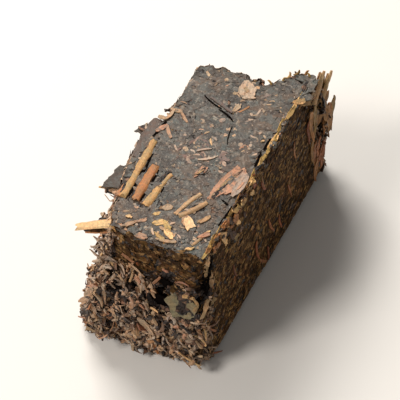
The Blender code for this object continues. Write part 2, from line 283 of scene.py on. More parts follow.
def leaf_material(name, stops, rough, wrinkles, depth, mottle=(0.72, 1.22),
                  hues=((0.92, 1.0, 1.02), (1.10, 1.0, 0.92)), shine=0.35, covers=()):
    """Leaf: each one takes its own colour by its tint, with wrinkles along its length.

    stops: the colours of the leaves by their tints
    rough: roughness of the raised parts and of the hollows
    wrinkles: their length and spacing on the leaf, in metres
    depth: how deep they are, in metres
    mottle: least and greatest brightness within a leaf
    hues: the cool and the warm tinge that its colour varies between
    shine: how strongly the surface reflects
    covers: patches across all leaves, each a colour, a size, the values of soft noise at
        which it starts and is full, and how much of the leaf it hides
    """
    material, tree, shader = new_material(name, Specular_IOR_Level=shine)
    tint = add(tree, "ShaderNodeAttribute", attribute_name="tint")["Fac"]
    chance = add(tree, "ShaderNodeTexWhiteNoise", {"W": tint}, noise_dimensions="1D")
    grain = add(tree, "ShaderNodeAttribute", attribute_name="grain")["Vector"]
    place = add(tree, "ShaderNodeTexCoord")["Object"]
    shift = add(tree, "ShaderNodeVectorMath", {0: chance["Color"], "Scale": SHIFT},
                operation="SCALE")[0]
    stretch = (1 / wrinkles[0], 1 / wrinkles[1], 1 / wrinkles[1])
    along = add(tree, "ShaderNodeVectorMath", {0: grain, 1: stretch, 2: shift},
                operation="MULTIPLY_ADD")[0]
    patterns = ((along, 1.0, 2.0), (place, SPECKLE, 3.0), (place, PATCH, 3.0),
                *((place, size, 2.5) for _, size, *_ in covers))
    ridges, speckle, patches, *covering = (
        add(tree, "ShaderNodeTexNoise",
            {"Vector": where, "Scale": 1 / size, "Detail": detail,
             "Roughness": NOISE_ROUGHNESS})["Fac"]
        for where, size, detail in patterns)
    tone = add(tree, "ShaderNodeMapRange", {0: chance["Value"], 3: DULL, 4: BRIGHT})[0]
    for pattern in (ridges, speckle):
        shading = add(tree, "ShaderNodeMapRange",
                      {0: pattern, 1: NOISE_LOW, 2: NOISE_HIGH, 3: mottle[0], 4: mottle[1]})
        tone = add(tree, "ShaderNodeMath", {0: tone, 1: shading[0]}, operation="MULTIPLY")[0]
    warmth = add(tree, "ShaderNodeMapRange", {0: patches, 1: COOL, 2: WARM})[0]
    hue = add(tree, "ShaderNodeMix", {0: warmth, 4: hues[0], 5: hues[1]}, data_type="VECTOR")[1]
    base = add(tree, "ShaderNodeValToRGB", {"Fac": tint}, stops)["Color"]
    hued = add(tree, "ShaderNodeVectorMath", {0: base, 1: hue}, operation="MULTIPLY")
    shaded = add(tree, "ShaderNodeVectorMath", {0: hued[0], "Scale": tone}, operation="SCALE")[0]
    for pattern, (code, _, start, full, share) in zip(covering, covers):
        cover = add(tree, "ShaderNodeMapRange", {0: pattern, 1: start, 2: full, 4: share})
        shaded = add(tree, "ShaderNodeMix", {0: cover[0], 6: shaded, 7: code},
                     data_type="RGBA")[2]
    tree.links.new(shaded, shader.inputs["Base Color"])
    worn = add(tree, "ShaderNodeMapRange",
               {0: speckle, 1: NOISE_LOW, 2: NOISE_HIGH, 3: rough[0], 4: rough[1]})
    tree.links.new(worn[0], shader.inputs["Roughness"])
    height = add(tree, "ShaderNodeMath", {0: speckle, 1: SPECKLE_RELIEF, 2: ridges},
                 operation="MULTIPLY_ADD")[0]
    relief = add(tree, "ShaderNodeBump", {"Height": height, "Distance": depth})
    tree.links.new(relief["Normal"], shader.inputs["Normal"])
    return material


def satin_pressed_leaf(colours):
    """Leaf flattened against the mould's steel: a satin skin with grey patches of painted sheen and
    rubbed specks."""
    # Painted sheen: the grey stop and the grey cover stand for the satin reflection of the top; the
    # other colours are the leaves' own
    stops = [(0.0, colours.top_dark), (0.25, colours.top_leaf), (0.55, colours.top_grey_sheen),
             (0.75, colours.top_leaf), (0.88, colours.top_speck), (0.93, colours.tan_leaf),
             (0.97, colours.pink_leaf), (1.0, colours.pale_stem)]
    covers = ((colours.top_warm, 9.0 * MM, 0.45, 0.57, 0.72),
              (colours.top_grey_sheen, 4.5 * MM, 0.51, 0.59, 0.75),
              (colours.top_dark, 5.5 * MM, 0.52, 0.60, 0.60),
              (colours.top_dark, 1.8 * MM, 0.53, 0.65, 0.85),
              (colours.top_speck, 1.0 * MM, 0.56, 0.70, 0.80))
    return leaf_material("satin_pressed_leaf", stops, (0.42, 0.62), (3 * MM, 0.6 * MM),
                         0.16 * MM, mottle=(0.68, 1.30), shine=0.3,
                         hues=((0.90, 1.01, 1.02), (1.10, 0.99, 0.90)), covers=covers)


def rubbed_leaf(colours):
    """Single flakes on the pressed top: the same satin, partly under grey patches of painted sheen.
    """
    stops = [(0.0, colours.top_dark), (0.2, colours.top_leaf), (0.4, colours.mauve_leaf),
             (0.5, colours.grey_leaf), (0.6, colours.tan_leaf), (0.8, colours.pink_leaf),
             (1.0, colours.orange_stem)]
    # Painted sheen: the grey cover stands for the satin reflection of the top
    covers = ((colours.top_grey_sheen, 1.8 * MM, 0.53, 0.64, 0.60),
              (colours.top_dark, 1.0 * MM, 0.58, 0.70, 0.60))
    return leaf_material("rubbed_leaf", stops, (0.45, 0.65), (4 * MM, 0.5 * MM), 0.16 * MM,
                         mottle=(0.78, 1.22), shine=0.3, covers=covers)


def matte_pressed_leaf(colours):
    """Leaf cut and pressed edge on: matte, fine grained, warm brown."""
    stops = [(0.0, colours.mass), (0.18, colours.side_leaf), (0.42, colours.side_dark),
             (0.75, colours.side_leaf), (0.90, colours.side_speck), (0.96, colours.side_leaf),
             (1.0, colours.rust_leaf)]
    covers = ((colours.olive_leaf, 4.0 * MM, 0.50, 0.60, 0.35),
              (colours.mass, 6.0 * MM, 0.51, 0.61, 0.45),
              (colours.side_dark, 2.4 * MM, 0.50, 0.60, 0.85),
              (colours.mass, 1.0 * MM, 0.56, 0.68, 0.75),
              (colours.side_speck, 2.0 * MM, 0.56, 0.66, 0.75))
    return leaf_material("matte_pressed_leaf", stops, (0.65, 0.9), (2 * MM, 0.6 * MM),
                         0.16 * MM, mottle=(0.58, 1.42), shine=0.1,
                         hues=((0.97, 1.03, 0.82), (1.12, 0.98, 0.92)), covers=covers)


def curled_leaf(colours):
    """Loose rolled leaf: dark and slightly waxy; its pale tints are partly rubbed or torn leaf and
    partly painted highlights.
    """
    stops = [(0.0, colours.mass), (0.17, colours.dark_leaf), (0.35, colours.brown_leaf),
             (0.47, colours.dark_leaf), (0.63, colours.grey_leaf),
             (0.84, colours.tan_leaf), (0.95, colours.pink_leaf), (1.0, colours.rust_leaf)]
    return leaf_material("curled_leaf", stops, (0.35, 0.6), (5 * MM, 0.5 * MM), 0.12 * MM,
                         mottle=(0.64, 1.38), shine=0.45)


def waxy_green_leaf(colours):
    """A whole leaf laid flat: waxy and grey-green, with pale rubbed and dark patches."""
    stops = [(0.0, colours.top_leaf), (0.5, colours.green_leaf), (1.0, colours.rim_leaf)]
    covers = ((colours.top_speck, 1.6 * MM, 0.54, 0.66, 0.5),
              (colours.top_leaf, 1.2 * MM, 0.54, 0.68, 0.4))
    return leaf_material("waxy_green_leaf", stops, (0.4, 0.6), (4 * MM, 0.6 * MM), 0.16 * MM,
                         mottle=(0.72, 1.28), shine=0.35, covers=covers)


def rim_leaf(colours):
    """Torn edges of leaf along the rim: dry, beige to rusty brown."""
    stops = [(0.0, colours.side_dark), (0.2, colours.rust_leaf), (0.4, colours.orange_stem),
             (0.6, colours.olive_leaf), (0.8, colours.rim_leaf), (1.0, colours.straw)]
    covers = ((colours.side_dark, 1.6 * MM, 0.56, 0.66, 0.6),)
    return leaf_material("rim_leaf", stops, (0.45, 0.7), (4 * MM, 0.5 * MM), 0.12 * MM,
                         mottle=(0.66, 1.40), hues=((1.0, 1.0, 0.92), (1.12, 0.98, 0.84)),
                         covers=covers)


def woody_stem(colours):
    """Split woody stem: dry, fibrous along its length, straw to orange brown."""
    stops = [(0.0, colours.rust_leaf), (0.2, colours.pink_leaf), (0.4, colours.orange_stem),
             (0.6, colours.tan_leaf), (0.8, colours.pale_stem), (1.0, colours.straw)]
    return leaf_material("woody_stem", stops, (0.5, 0.7), (9 * MM, 0.32 * MM), 0.16 * MM,
                         mottle=(0.68, 1.24))


def painted_shade(colours):
    """Painted shade: dull and nearly black, standing for the deep shade at the bottoms of cracks and
    hollows and beside the stems on the top.
    """
    return new_material("painted_shade", Base_Color=colours.painted_crevice_shade, Roughness=1.0,
                        Specular_IOR_Level=0.05)[0]


def leaf_mass(colours):
    """The compressed mass behind the leaves: plates of leaf, with painted shade in the grooves
    between them.
    """
    material, tree, shader = new_material("leaf_mass")
    place = add(tree, "ShaderNodeTexCoord")["Object"]
    bent = add(tree, "ShaderNodeTexNoise", {"Vector": place, "Scale": 1 / (4 * MM),
                                            "Detail": 2.0})["Color"]
    moved = add(tree, "ShaderNodeVectorMath", {0: bent, 1: (2 * MM,) * 3, 2: place},
                operation="MULTIPLY_ADD")[0]
    plates, cracks = (add(tree, "ShaderNodeTexVoronoi", {"Vector": moved, "Scale": 1 / PLATE},
                          feature=feature) for feature in ("F1", "DISTANCE_TO_EDGE"))
    value = add(tree, "ShaderNodeSeparateColor", {0: plates["Color"]})[0]
    stops = [(0.0, colours.mass), (0.7, colours.dark_leaf), (0.95, colours.brown_leaf),
             (1.0, colours.olive_leaf)]
    base = add(tree, "ShaderNodeValToRGB", {"Fac": value}, stops)["Color"]
    # Painted shade: the colour falls to 0.3 of itself in the grooves between the plates, which the
    # bump also sinks
    dark = add(tree, "ShaderNodeMapRange", {0: cracks["Distance"], 2: 0.18, 3: 0.3, 4: 1.0})[0]
    shaded = add(tree, "ShaderNodeVectorMath", {0: base, "Scale": dark}, operation="SCALE")[0]
    tree.links.new(shaded, shader.inputs["Base Color"])
    worn = add(tree, "ShaderNodeMapRange", {0: value, 3: 0.5, 4: 0.8})[0]
    tree.links.new(worn, shader.inputs["Roughness"])
    relief = add(tree, "ShaderNodeBump", {"Height": dark, "Distance": 0.3 * MM})
    tree.links.new(relief["Normal"], shader.inputs["Normal"])
    return material


# Leaf and stem shapes ------------------------------------------------------------------

# Turns that bring the plane in which a shape is bent to X and Y: a bow stays in the flat
# of the leaf, a curl lifts its ends, and a roll lifts its two margins.
BOW = Matrix.Identity(3)
CURL = Matrix(((1, 0, 0), (0, 0, 1), (0, -1, 0)))
ROLL = Matrix(((0, 1, 0), (0, 0, 1), (1, 0, 0)))


def in_edit_mode(piece, chosen):
    """Open a piece's mesh with only the points selected whose places pass a test."""
    only(piece)
    bpy.ops.object.mode_set(mode="EDIT")
    bpy.ops.mesh.select_mode(type="VERT")
    bpy.ops.mesh.select_all(action="DESELECT")
    bpy.ops.object.mode_set(mode="OBJECT")
    for point in piece.data.vertices:
        point.select = chosen(point.co)
    bpy.ops.object.mode_set(mode="EDIT")


def bend(piece, angle, turn):
    """Bend a shape that lies along X, in the plane that a turn brings to X and Y."""
    if abs(angle) > 0.01:
        move(piece, turn)
        apply(piece, "SIMPLE_DEFORM", deform_method="BEND", deform_axis="Z", angle=angle)
        move(piece, turn.inverted())


# How squarely the width of a shape falls off towards its ends
SQUARENESS = 2.2


def shape_outline(piece, length, columns, chance, ends, unevenness):
    """Taper a shape along X towards its ends, and make its outline uneven."""
    step = length / columns
    for column in range(columns + 1):
        part = abs(2 * column / columns - 1)
        width = 1 - (1 - ends) * part ** SQUARENESS
        width *= chance.uniform(1 - unevenness, 1 + unevenness)
        x = step * column - length / 2
        in_edit_mode(piece, lambda co: abs(co.x - x) < step / 3)
        bpy.ops.transform.resize(value=(1, width, width if piece.dimensions.z > 0 else 1),
                                 center_override=(0, 0, 0))
        bpy.ops.object.mode_set(mode="OBJECT")


def keep_grain(piece):
    """Keep each point's place on the flat shape, for the wrinkles that follow it."""
    places = [value for point in piece.data.vertices for value in point.co]
    grain = piece.data.attributes.new("grain", "FLOAT_VECTOR", "POINT")
    grain.data.foreach_set("vector", places)


# Edges that bend more than this stay sharp
SHARP = math.radians(50)


def shade(piece):
    """Smooth a piece, but for its sharp edges."""
    only(piece)
    bpy.ops.object.shade_smooth_by_angle(angle=SHARP)
    return piece


def crumple(piece, depth, chance):
    """Crumple a leaf and tear its outline with soft noise, elsewhere in it for each leaf."""
    away = Matrix.Translation([chance.uniform(-1, 1) for _ in range(3)])
    texture = bpy.data.textures.new("crumple", "CLOUDS")
    texture.noise_scale = 1.8 * MM
    move(piece, away)
    for direction, strength in (("X", 1.5), ("Y", 2.0), ("Z", 1.6)):
        apply(piece, "DISPLACE", texture=texture, texture_coords="LOCAL",
              direction=direction, strength=strength * depth, mid_level=0.5)
        texture.noise_scale *= 0.8
    move(piece, away.inverted())


def raise_fibres(piece, length, depth, chance):
    """Raise fibres along a stem, and break its two ends unevenly."""
    slow = Matrix.Translation([chance.uniform(-1, 1) for _ in range(3)])
    slow @= Matrix.Diagonal((0.08, 1, 1, 1))
    texture = bpy.data.textures.new("fibres", "CLOUDS")
    texture.noise_scale = 0.45 * MM
    move(piece, slow)
    for direction in "YZ":
        apply(piece, "DISPLACE", texture=texture, texture_coords="LOCAL",
              direction=direction, strength=depth, mid_level=0.5)
    move(piece, slow.inverted())
    ends = piece.vertex_groups.new(name="ends")
    outer = [point.index for point in piece.data.vertices if abs(point.co.x) > 0.48 * length]
    ends.add(outer, 1.0, "REPLACE")
    apply(piece, "DISPLACE", texture=texture, texture_coords="LOCAL", direction="X",
          strength=6 * depth, mid_level=0.5, vertex_group="ends")


def curve_and_thicken(piece, bends, thickness):
    """Bend a flat leaf by its bow, curl, roll and twist, and give it its thickness."""
    bow, curl, roll, twist = bends
    bend(piece, roll, ROLL)
    bend(piece, bow, BOW)
    bend(piece, curl, CURL)
    if twist:
        apply(piece, "SIMPLE_DEFORM", deform_method="TWIST", deform_axis="X", angle=twist)
    apply(piece, "SOLIDIFY", thickness=thickness, offset=0.0)
    return shade(piece)


def blade(length, width, bends, thickness, chance, cells=(6, 2), crumpled=0.0):
    """A leaf along X: tapered, uneven, and bent."""
    deselect()
    bpy.ops.mesh.primitive_grid_add(x_subdivisions=cells[0], y_subdivisions=cells[1], size=1)
    piece = bpy.context.object
    move(piece, Matrix.Diagonal((length, width, 1)))
    shape_outline(piece, length, cells[0], chance, chance.uniform(0.5, 0.7), 0.14)
    keep_grain(piece)
    if crumpled:
        crumple(piece, crumpled, chance)
    return curve_and_thicken(piece, bends, thickness)


def scrap(length, width, bends, thickness, chance, taper=0.0):
    """A torn flake along X: an irregular outline, narrower at one end, and bent."""
    deselect()
    bpy.ops.mesh.primitive_circle_add(vertices=11, radius=0.5, fill_type="TRIFAN")
    piece = bpy.context.object
    in_edit_mode(piece, lambda co: co.length > 0.4)
    bpy.ops.transform.vertex_random(offset=0.26, uniform=0.0, normal=0.0,
                                    seed=chance.randrange(1000))
    bpy.ops.mesh.select_all(action="SELECT")
    bpy.ops.mesh.subdivide(number_cuts=3, fractal=1.6, fractal_along_normal=0.0,
                           seed=chance.randrange(1000))
    bpy.ops.object.mode_set(mode="OBJECT")
    move(piece, Matrix.Diagonal((length, width, 0.02 * width)))
    if taper:
        apply(piece, "SIMPLE_DEFORM", deform_method="TAPER", deform_axis="X", factor=taper)
    keep_grain(piece)
    crumple(piece, 0.25 * MM, chance)
    return curve_and_thicken(piece, bends, thickness)


def strand(length, width, bends, chance, sides=5, columns=6, flat=0.6, ends=0.55,
           uneven=0.2, fibres=0.0):
    """A rolled leaf or a stem along X: a tapered, flattened prism, bent and twisted."""
    deselect()
    bpy.ops.mesh.primitive_cylinder_add(vertices=sides, radius=width / 2, depth=length)
    piece = move(bpy.context.object, Matrix.Rotation(math.pi / 2, 3, "Y"))
    in_edit_mode(piece, lambda co: False)
    bpy.ops.mesh.select_mode(type="EDGE")
    bpy.ops.object.mode_set(mode="OBJECT")
    for edge in piece.data.edges:
        first, second = (piece.data.vertices[index].co.x for index in edge.vertices)
        edge.select = abs(first - second) > length / 2
    bpy.ops.object.mode_set(mode="EDIT")
    bpy.ops.mesh.subdivide(number_cuts=columns - 1)
    bpy.ops.object.mode_set(mode="OBJECT")
    shape_outline(piece, length, columns, chance, ends, uneven)
    move(piece, Matrix.Diagonal((1, 1, flat)))
    keep_grain(piece)
    if fibres:
        raise_fibres(piece, length, fibres, chance)
    bow, curl, roll, twist = bends
    if twist:
        apply(piece, "SIMPLE_DEFORM", deform_method="TWIST", deform_axis="X", angle=twist)
    bend(piece, bow, BOW)
    bend(piece, curl, CURL)
    in_edit_mode(piece, lambda co: True)
    bpy.ops.transform.vertex_random(offset=0.4 * uneven * width, uniform=0.0, normal=0.0,
                                    seed=chance.randrange(1000))
    bpy.ops.object.mode_set(mode="OBJECT")
    return shade(piece)


def shelf(name, shapes):
    """Put shapes in a collection of their own, outside the scene, to be copied from."""
    kept = bpy.data.collections.new(name)
    for shape in shapes:
        for holder in list(shape.users_collection):
            holder.objects.unlink(shape)
        kept.objects.link(shape)


# Length and width of each shape, as shares of its kind's length, and its bow, curl, roll
# and twist in radians, where the last ones may be left out
SHAPES = {
    "pressed_leaves": (
        (1.00, 0.30, 0.5), (0.80, 0.26, -0.8), (1.30, 0.22, 0.7), (0.60, 0.34, 0.3),
        (0.45, 0.28, -0.2), (0.90, 0.16, 1.1), (0.55, 0.20, -0.9), (1.45, 0.14, 0.6)),
    "fragments": (
        (0.34, 0.10, 0.6), (0.26, 0.14, 0.2), (0.46, 0.09, -1.2), (0.20, 0.09, 0.4),
        (0.40, 0.13, 1.4), (0.30, 0.07, -0.6)),
    "flakes": (
        (0.90, 0.30, 0.3, 1.3, 1.6, 0.5), (0.70, 0.36, -0.4, -0.9, 2.2, -0.7),
        (1.10, 0.24, 0.6, 1.9, 1.2, 1.3), (0.60, 0.42, 0.2, 0.7, -1.8, 0.4),
        (0.80, 0.26, -0.6, 2.4, 2.6, -1.2), (1.00, 0.32, 0.5, -1.5, 1.0, 0.9)),
    "strands": (
        (1.00, 0.20, 1.6, 0.6, 0, 2.5), (0.80, 0.24, -0.9, 1.5, 0, -2.0),
        (1.20, 0.17, 2.6, -0.8, 0, 3.0), (0.60, 0.26, 0.8, 2.0, 0, 1.2),
        (0.90, 0.20, -2.2, 0.9, 0, -3.5), (0.70, 0.18, 3.2, 0.4, 0, 2.0),
        (1.35, 0.15, 1.0, -1.4, 0, 4.0), (0.50, 0.30, -0.5, -1.0, 0, 1.0)),
    "wires": (
        (1.10, 0.10, 1.2, 0.8, 0, 3.0), (0.80, 0.12, -1.4, 1.0, 0, -2.0),
        (1.40, 0.09, 2.2, -0.9, 0, 4.0), (0.60, 0.13, 0.9, 1.6, 0, 1.0),
        (1.00, 0.10, -2.6, 0.6, 0, -3.0), (0.90, 0.11, 3.6, 0.5, 0, 2.0)),
    "stems": (
        (1.00, 0.13, 0.2, 0.1), (0.70, 0.17, -0.3, 0.2), (1.30, 0.10, 0.4, -0.2),
        (0.50, 0.14, 0.1, 0.3), (0.85, 0.08, 0.7, 0.3)),
}


def four(bends):
    """Bow, curl, roll and twist, of which the last ones may be left out as 0."""
    return (*bends, 0, 0, 0)[:4]


def build_shapes(sizes):
    """Model every leaf, strand and stem that is spread over the chunk."""
    chance = random.Random(5)
    thin, thick = dict(thickness=0.08 * MM), dict(thickness=0.22 * MM)
    makers = {
        "pressed_leaves": (blade, sizes.pressed_leaf, thin),
        "fragments": (blade, sizes.pressed_leaf, dict(thin, cells=(4, 1))),
        "flakes": (blade, sizes.strand, thick),
        "strands": (strand, sizes.strand, {}),
        "wires": (strand, sizes.strand, {}),
        "stems": (strand, sizes.stem, dict(sides=6, columns=3, flat=0.8, ends=0.85)),
    }
    for name, (make, size, options) in makers.items():
        shelf(name, [make(size * long, size * wide, four(bends), chance=chance, **options)
                     for long, wide, *bends in SHAPES[name]])


def clear_shapes():
    """Remove the shapes that the pieces were made of."""
    for name in SHAPES:
        kept = bpy.data.collections[name]
        for shape in list(kept.objects):
            bpy.data.objects.remove(shape)
        bpy.data.collections.remove(kept)


# Spreading shapes over the core --------------------------------------------------------

# How far from the core a point may lie near the ceiling of its rule, in millimetres, and how
# far below the ceiling this starts to count and counts fully
REACH_AT_CEILING = 0.7
CEILING_FELT, CEILING_NEAR = 9 * MM, 2 * MM

# How far above the floor every point stays
ABOVE_FLOOR = 0.15 * MM

# How much smaller shapes are where the core is quite bare, and how bare it is where pressed
# leaves are cut off
SHRINK = 0.7
CUT_AT = 0.95


@dataclass
class Spread:
    """How shapes are spread over a part of the core's surface."""
    shapes: str              # the kind of shape
    density: float           # shapes for each square centimetre
    seed: int
    facing: tuple            # the direction in which the side faces
    low: tuple               # the box in which the shapes lie
    high: tuple
    least: float = 0.5       # least cosine between a face and the side's direction
    grain: tuple = (0, 1, 0) # the direction of their length
    turn: float = math.pi    # how far they turn from it
    tilt: tuple = (0.1, 0.1) # how far they rise out of the surface
    lift: tuple = (0.0, 0.0) # how far out of the surface they sit, in millimetres
    long: tuple = (0.7, 1.3) # least and greatest stretch in length
    wide: tuple = (0.8, 1.2) # least and greatest stretch in width
    tints: tuple = (0.0, 1.0)
    align: float = 1.0       # how much they follow the side and not each small face
    reach: float = 0.6       # how far from the core any point may lie, in millimetres
    clear: float = 0.5       # how bare the core may be under their middles
    trim: bool = False       # whether they are cut off where the core is bare
    ceiling: float = 1.0     # the height above which no point of them may lie


def inside(tree, position, low, high):
    """Whether a position lies in a box."""
    size = Vector(high) - Vector(low)
    middle = Vector(low) + size / 2
    away = add(tree, "ShaderNodeVectorMath", {0: position, 1: middle}, operation="SUBTRACT")
    share = add(tree, "ShaderNodeVectorMath", {0: away[0], 1: size / 2}, operation="DIVIDE")
    absolute = add(tree, "ShaderNodeVectorMath", {0: share[0]}, operation="ABSOLUTE")
    parts = add(tree, "ShaderNodeSeparateXYZ", {0: absolute[0]})
    first = add(tree, "ShaderNodeMath", {0: parts[0], 1: parts[1]}, operation="MAXIMUM")
    most = add(tree, "ShaderNodeMath", {0: first[0], 1: parts[2]}, operation="MAXIMUM")
    return add(tree, "FunctionNodeCompare", {0: most[0], 1: 1.0},
               data_type="FLOAT", operation="LESS_THAN")[0]


def points_on_side(tree, rule, source, position, bare):
    """Points spread over the part of the core that a rule is for, with their normals."""
    normal = add(tree, "GeometryNodeInputNormal")[0]
    cosine = add(tree, "ShaderNodeVectorMath", {0: normal, 1: rule.facing},
                 operation="DOT_PRODUCT")[1]
    chosen = add(tree, "FunctionNodeCompare", {0: cosine, 1: rule.least}, data_type="FLOAT",
                 operation="GREATER_THAN")[0]
    within = inside(tree, position, rule.low, rule.high)
    covered = add(tree, "FunctionNodeCompare", {0: bare, 1: rule.clear},
                  data_type="FLOAT", operation="LESS_THAN")[0]
    for test in (within, covered):
        chosen = add(tree, "FunctionNodeBooleanMath", {0: chosen, 1: test}, operation="AND")[0]
    points = add(tree, "GeometryNodeDistributePointsOnFaces",
                 {"Mesh": source, "Selection": chosen,
                  "Density": rule.density / (10 * MM) ** 2, "Seed": rule.seed})
    return points["Points"], points["Normal"]


def turns_of_shapes(tree, rule, normal):
    """How each shape is turned: along the grain, with its top outwards, and then by chance."""
    outwards = add(tree, "ShaderNodeMix", {0: rule.align, 4: normal, 5: rule.facing},
                   data_type="VECTOR")[1]
    upright = add(tree, "FunctionNodeAlignRotationToVector", {"Vector": outwards}, axis="Z")
    turned = add(tree, "FunctionNodeAlignRotationToVector",
                 {"Rotation": upright[0], "Vector": rule.grain}, axis="X",
                 pivot_axis="Z")[0]
    most = Vector((*rule.tilt, rule.turn))
    angles = add(tree, "FunctionNodeRandomValue", {0: -most, 1: most, 8: rule.seed + 1},
                 data_type="FLOAT_VECTOR")[0]
    spin = add(tree, "FunctionNodeEulerToRotation", {0: angles})[0]
    return add(tree, "FunctionNodeRotateRotation", {"Rotation": turned, "Rotate By": spin},
               rotation_space="LOCAL")[0]


def sizes_of_shapes(tree, rule, bare):
    """How much each shape is stretched, by chance and less where the core is bare."""
    least = (rule.long[0], rule.wide[0], 1.0)
    greatest = (rule.long[1], rule.wide[1], 1.0)
    scale = add(tree, "FunctionNodeRandomValue", {0: least, 1: greatest, 8: rule.seed + 2},
                data_type="FLOAT_VECTOR")[0]
    if rule.trim:
        return scale
    share = add(tree, "ShaderNodeMath", {0: bare, 1: -SHRINK, 2: 1.0},
                operation="MULTIPLY_ADD")[0]
    return add(tree, "ShaderNodeVectorMath", {0: scale, "Scale": share}, operation="SCALE")[0]


def held_to_core(tree, rule, source, position):
    """Each point's place, drawn in to within the rule's reach of the core, above the floor
    and under the rule's ceiling."""
    nearest = add(tree, "GeometryNodeProximity", {0: source}, target_element="FACES")
    offset = add(tree, "ShaderNodeVectorMath", {0: position, 1: nearest["Position"]},
                 operation="SUBTRACT")[0]
    height = add(tree, "ShaderNodeSeparateXYZ", {0: position})[2]
    free, under_ceiling = MM * rule.reach, MM * min(rule.reach, REACH_AT_CEILING)
    reach = add(tree, "ShaderNodeMapRange",
                {0: height, 1: rule.ceiling - CEILING_FELT, 2: rule.ceiling - CEILING_NEAR,
                 3: free, 4: under_ceiling})[0]
    share = add(tree, "ShaderNodeMath", {0: reach, 1: nearest["Distance"]},
                operation="DIVIDE", use_clamp=True)[0]
    held = add(tree, "ShaderNodeVectorMath", {0: offset, 1: share, 2: nearest["Position"]},
               operation="MULTIPLY_ADD")[0]
    for limit, choice in (((-1.0, -1.0, ABOVE_FLOOR), "MAXIMUM"),
                          ((1.0, 1.0, rule.ceiling), "MINIMUM")):
        held = add(tree, "ShaderNodeVectorMath", {0: held, 1: limit}, operation=choice)[0]
    return held


def spread_tree(rule):
    """A geometry node tree that spreads shapes over a mesh by a rule."""
    tree = bpy.data.node_groups.new("spread", "GeometryNodeTree")
    for direction in ("INPUT", "OUTPUT"):
        tree.interface.new_socket(name="Geometry", in_out=direction,
                                  socket_type="NodeSocketGeometry")
    source = add(tree, "NodeGroupInput")[0]
    position = add(tree, "GeometryNodeInputPosition")[0]
    bare = add(tree, "GeometryNodeInputNamedAttribute", {"Name": "bare"}, data_type="FLOAT")[0]
    points, normal = points_on_side(tree, rule, source, position, bare)
    shapes = add(tree, "GeometryNodeCollectionInfo",
                 {"Collection": bpy.data.collections[rule.shapes], "Separate Children": True,
                  "Reset Children": True})[0]
    copies = add(tree, "GeometryNodeInstanceOnPoints",
                 {"Points": points, "Instance": shapes, "Pick Instance": True,
                  "Rotation": turns_of_shapes(tree, rule, normal),
                  "Scale": sizes_of_shapes(tree, rule, bare)})[0]
    lifts = [height * MM for height in rule.lift]
    tint, lift = (add(tree, "FunctionNodeRandomValue", {2: low, 3: high, 8: rule.seed + after},
                      data_type="FLOAT")[1]
                  for (low, high), after in ((rule.tints, 3), (lifts, 4)))
    tinted = add(tree, "GeometryNodeStoreNamedAttribute",
                 {"Geometry": copies, "Name": "tint", "Value": tint},
                 data_type="FLOAT", domain="INSTANCE")[0]
    raised = add(tree, "ShaderNodeVectorMath", {0: rule.facing, "Scale": lift},
                 operation="SCALE")[0]
    lifted = add(tree, "GeometryNodeTranslateInstances",
                 {"Instances": tinted, "Translation": raised, "Local Space": False})
    real = add(tree, "GeometryNodeRealizeInstances", {0: lifted[0]})[0]
    held = held_to_core(tree, rule, source, position)
    if rule.trim:
        under = add(tree, "GeometryNodeSampleNearestSurface", {0: source, 1: bare},
                    data_type="FLOAT")[0]
        cut = add(tree, "FunctionNodeCompare", {0: under, 1: CUT_AT}, data_type="FLOAT",
                  operation="GREATER_THAN")[0]
        real = add(tree, "GeometryNodeDeleteGeometry", {"Geometry": real, "Selection": cut},
                   domain="POINT")[0]
    placed = add(tree, "GeometryNodeSetPosition", {"Geometry": real, "Position": held})
    add(tree, "NodeGroupOutput", {0: placed[0]})
    return tree


def spread(core, rules, name, material):
    """Spread shapes over the core by one or more rules, as one joined piece."""
    parts = []
    for rule in rules:
        tree = spread_tree(rule)
        parts.append(apply(copy_of(core), "NODES", node_group=tree))
        bpy.data.node_groups.remove(tree)
    return finish_piece(join(parts), name, material)


# Pieces --------------------------------------------------------------------------------

# Hollows: place from the corner, radius, and the direction in which and distance by which
# the core is pushed in, in millimetres. The first ones are the crack that splits the pressed
# side near its near edge, then two round holes, the bare place behind a large flake and a
# slanting gap between the loose leaves of the near end, and the crack that splits the far
# end's loose layer from the side.
HOLLOWS = (
    ((0, 5.2, -5.4), 2.4, (-2.6, 0, 0)), ((0, 4.4, -9.4), 2.8, (-3.2, 0, 0)),
    ((0, 3.0, -13), 3.2, (-3.6, 0, 0)), ((0, 1.6, -17), 3.6, (-3.4, 1, 0)),
    ((-1.6, -1.6, -20), 2.8, (0, 3, 0)),
    ((-12.6, -2.5, -15.6), 4.2, (0, 5, 0)), ((-14.5, -2.5, -26.6), 5.6, (0, 6, 0)),
    ((-6.6, -2.5, -24.0), 6.6, (0, 0.5, 0)),
    ((-35, -2.5, -35.4), 4.0, (0, 4, 0)), ((-31, -2.5, -30.2), 4.0, (0, 4, 0)),
    ((-26.6, -2.5, -25.4), 3.6, (0, 4, 0)), ((2, 82.0, -20), 3.2, (-3, 0, 0)),
    ((2, 81.6, -26), 3.2, (-3, 0, 0)), ((2, 81.2, -32), 3.2, (-3, 0, 0)),
)


# How far round a hollow the core is partly bare, in millimetres
HOLLOW_FADE = 5


def bareness(place, middles):
    """How bare a place of the core is: 1 in a hollow, nearly 1 under the solid's own flakes
    at the left and strips at the far right, and 0 where leaves are spread freely."""
    x, y, z = (place - CORNER) / MM
    under_left_flakes = x < -40.5 and z > -14
    under_far_strips = (x > 1.0 and y > 66) or (y > 80 and z > -2)
    if under_left_flakes or under_far_strips:
        return 0.9
    gaps = [(place - middle).length / MM - 0.8 * radius
            for middle, (_, radius, _) in zip(middles, HOLLOWS)]
    return min(1.0, max(0.0, 1.0 - min(gaps) / HOLLOW_FADE))


# How far a place may move along the line of sight when it is settled, in millimetres
SETTLE_REACH = 15


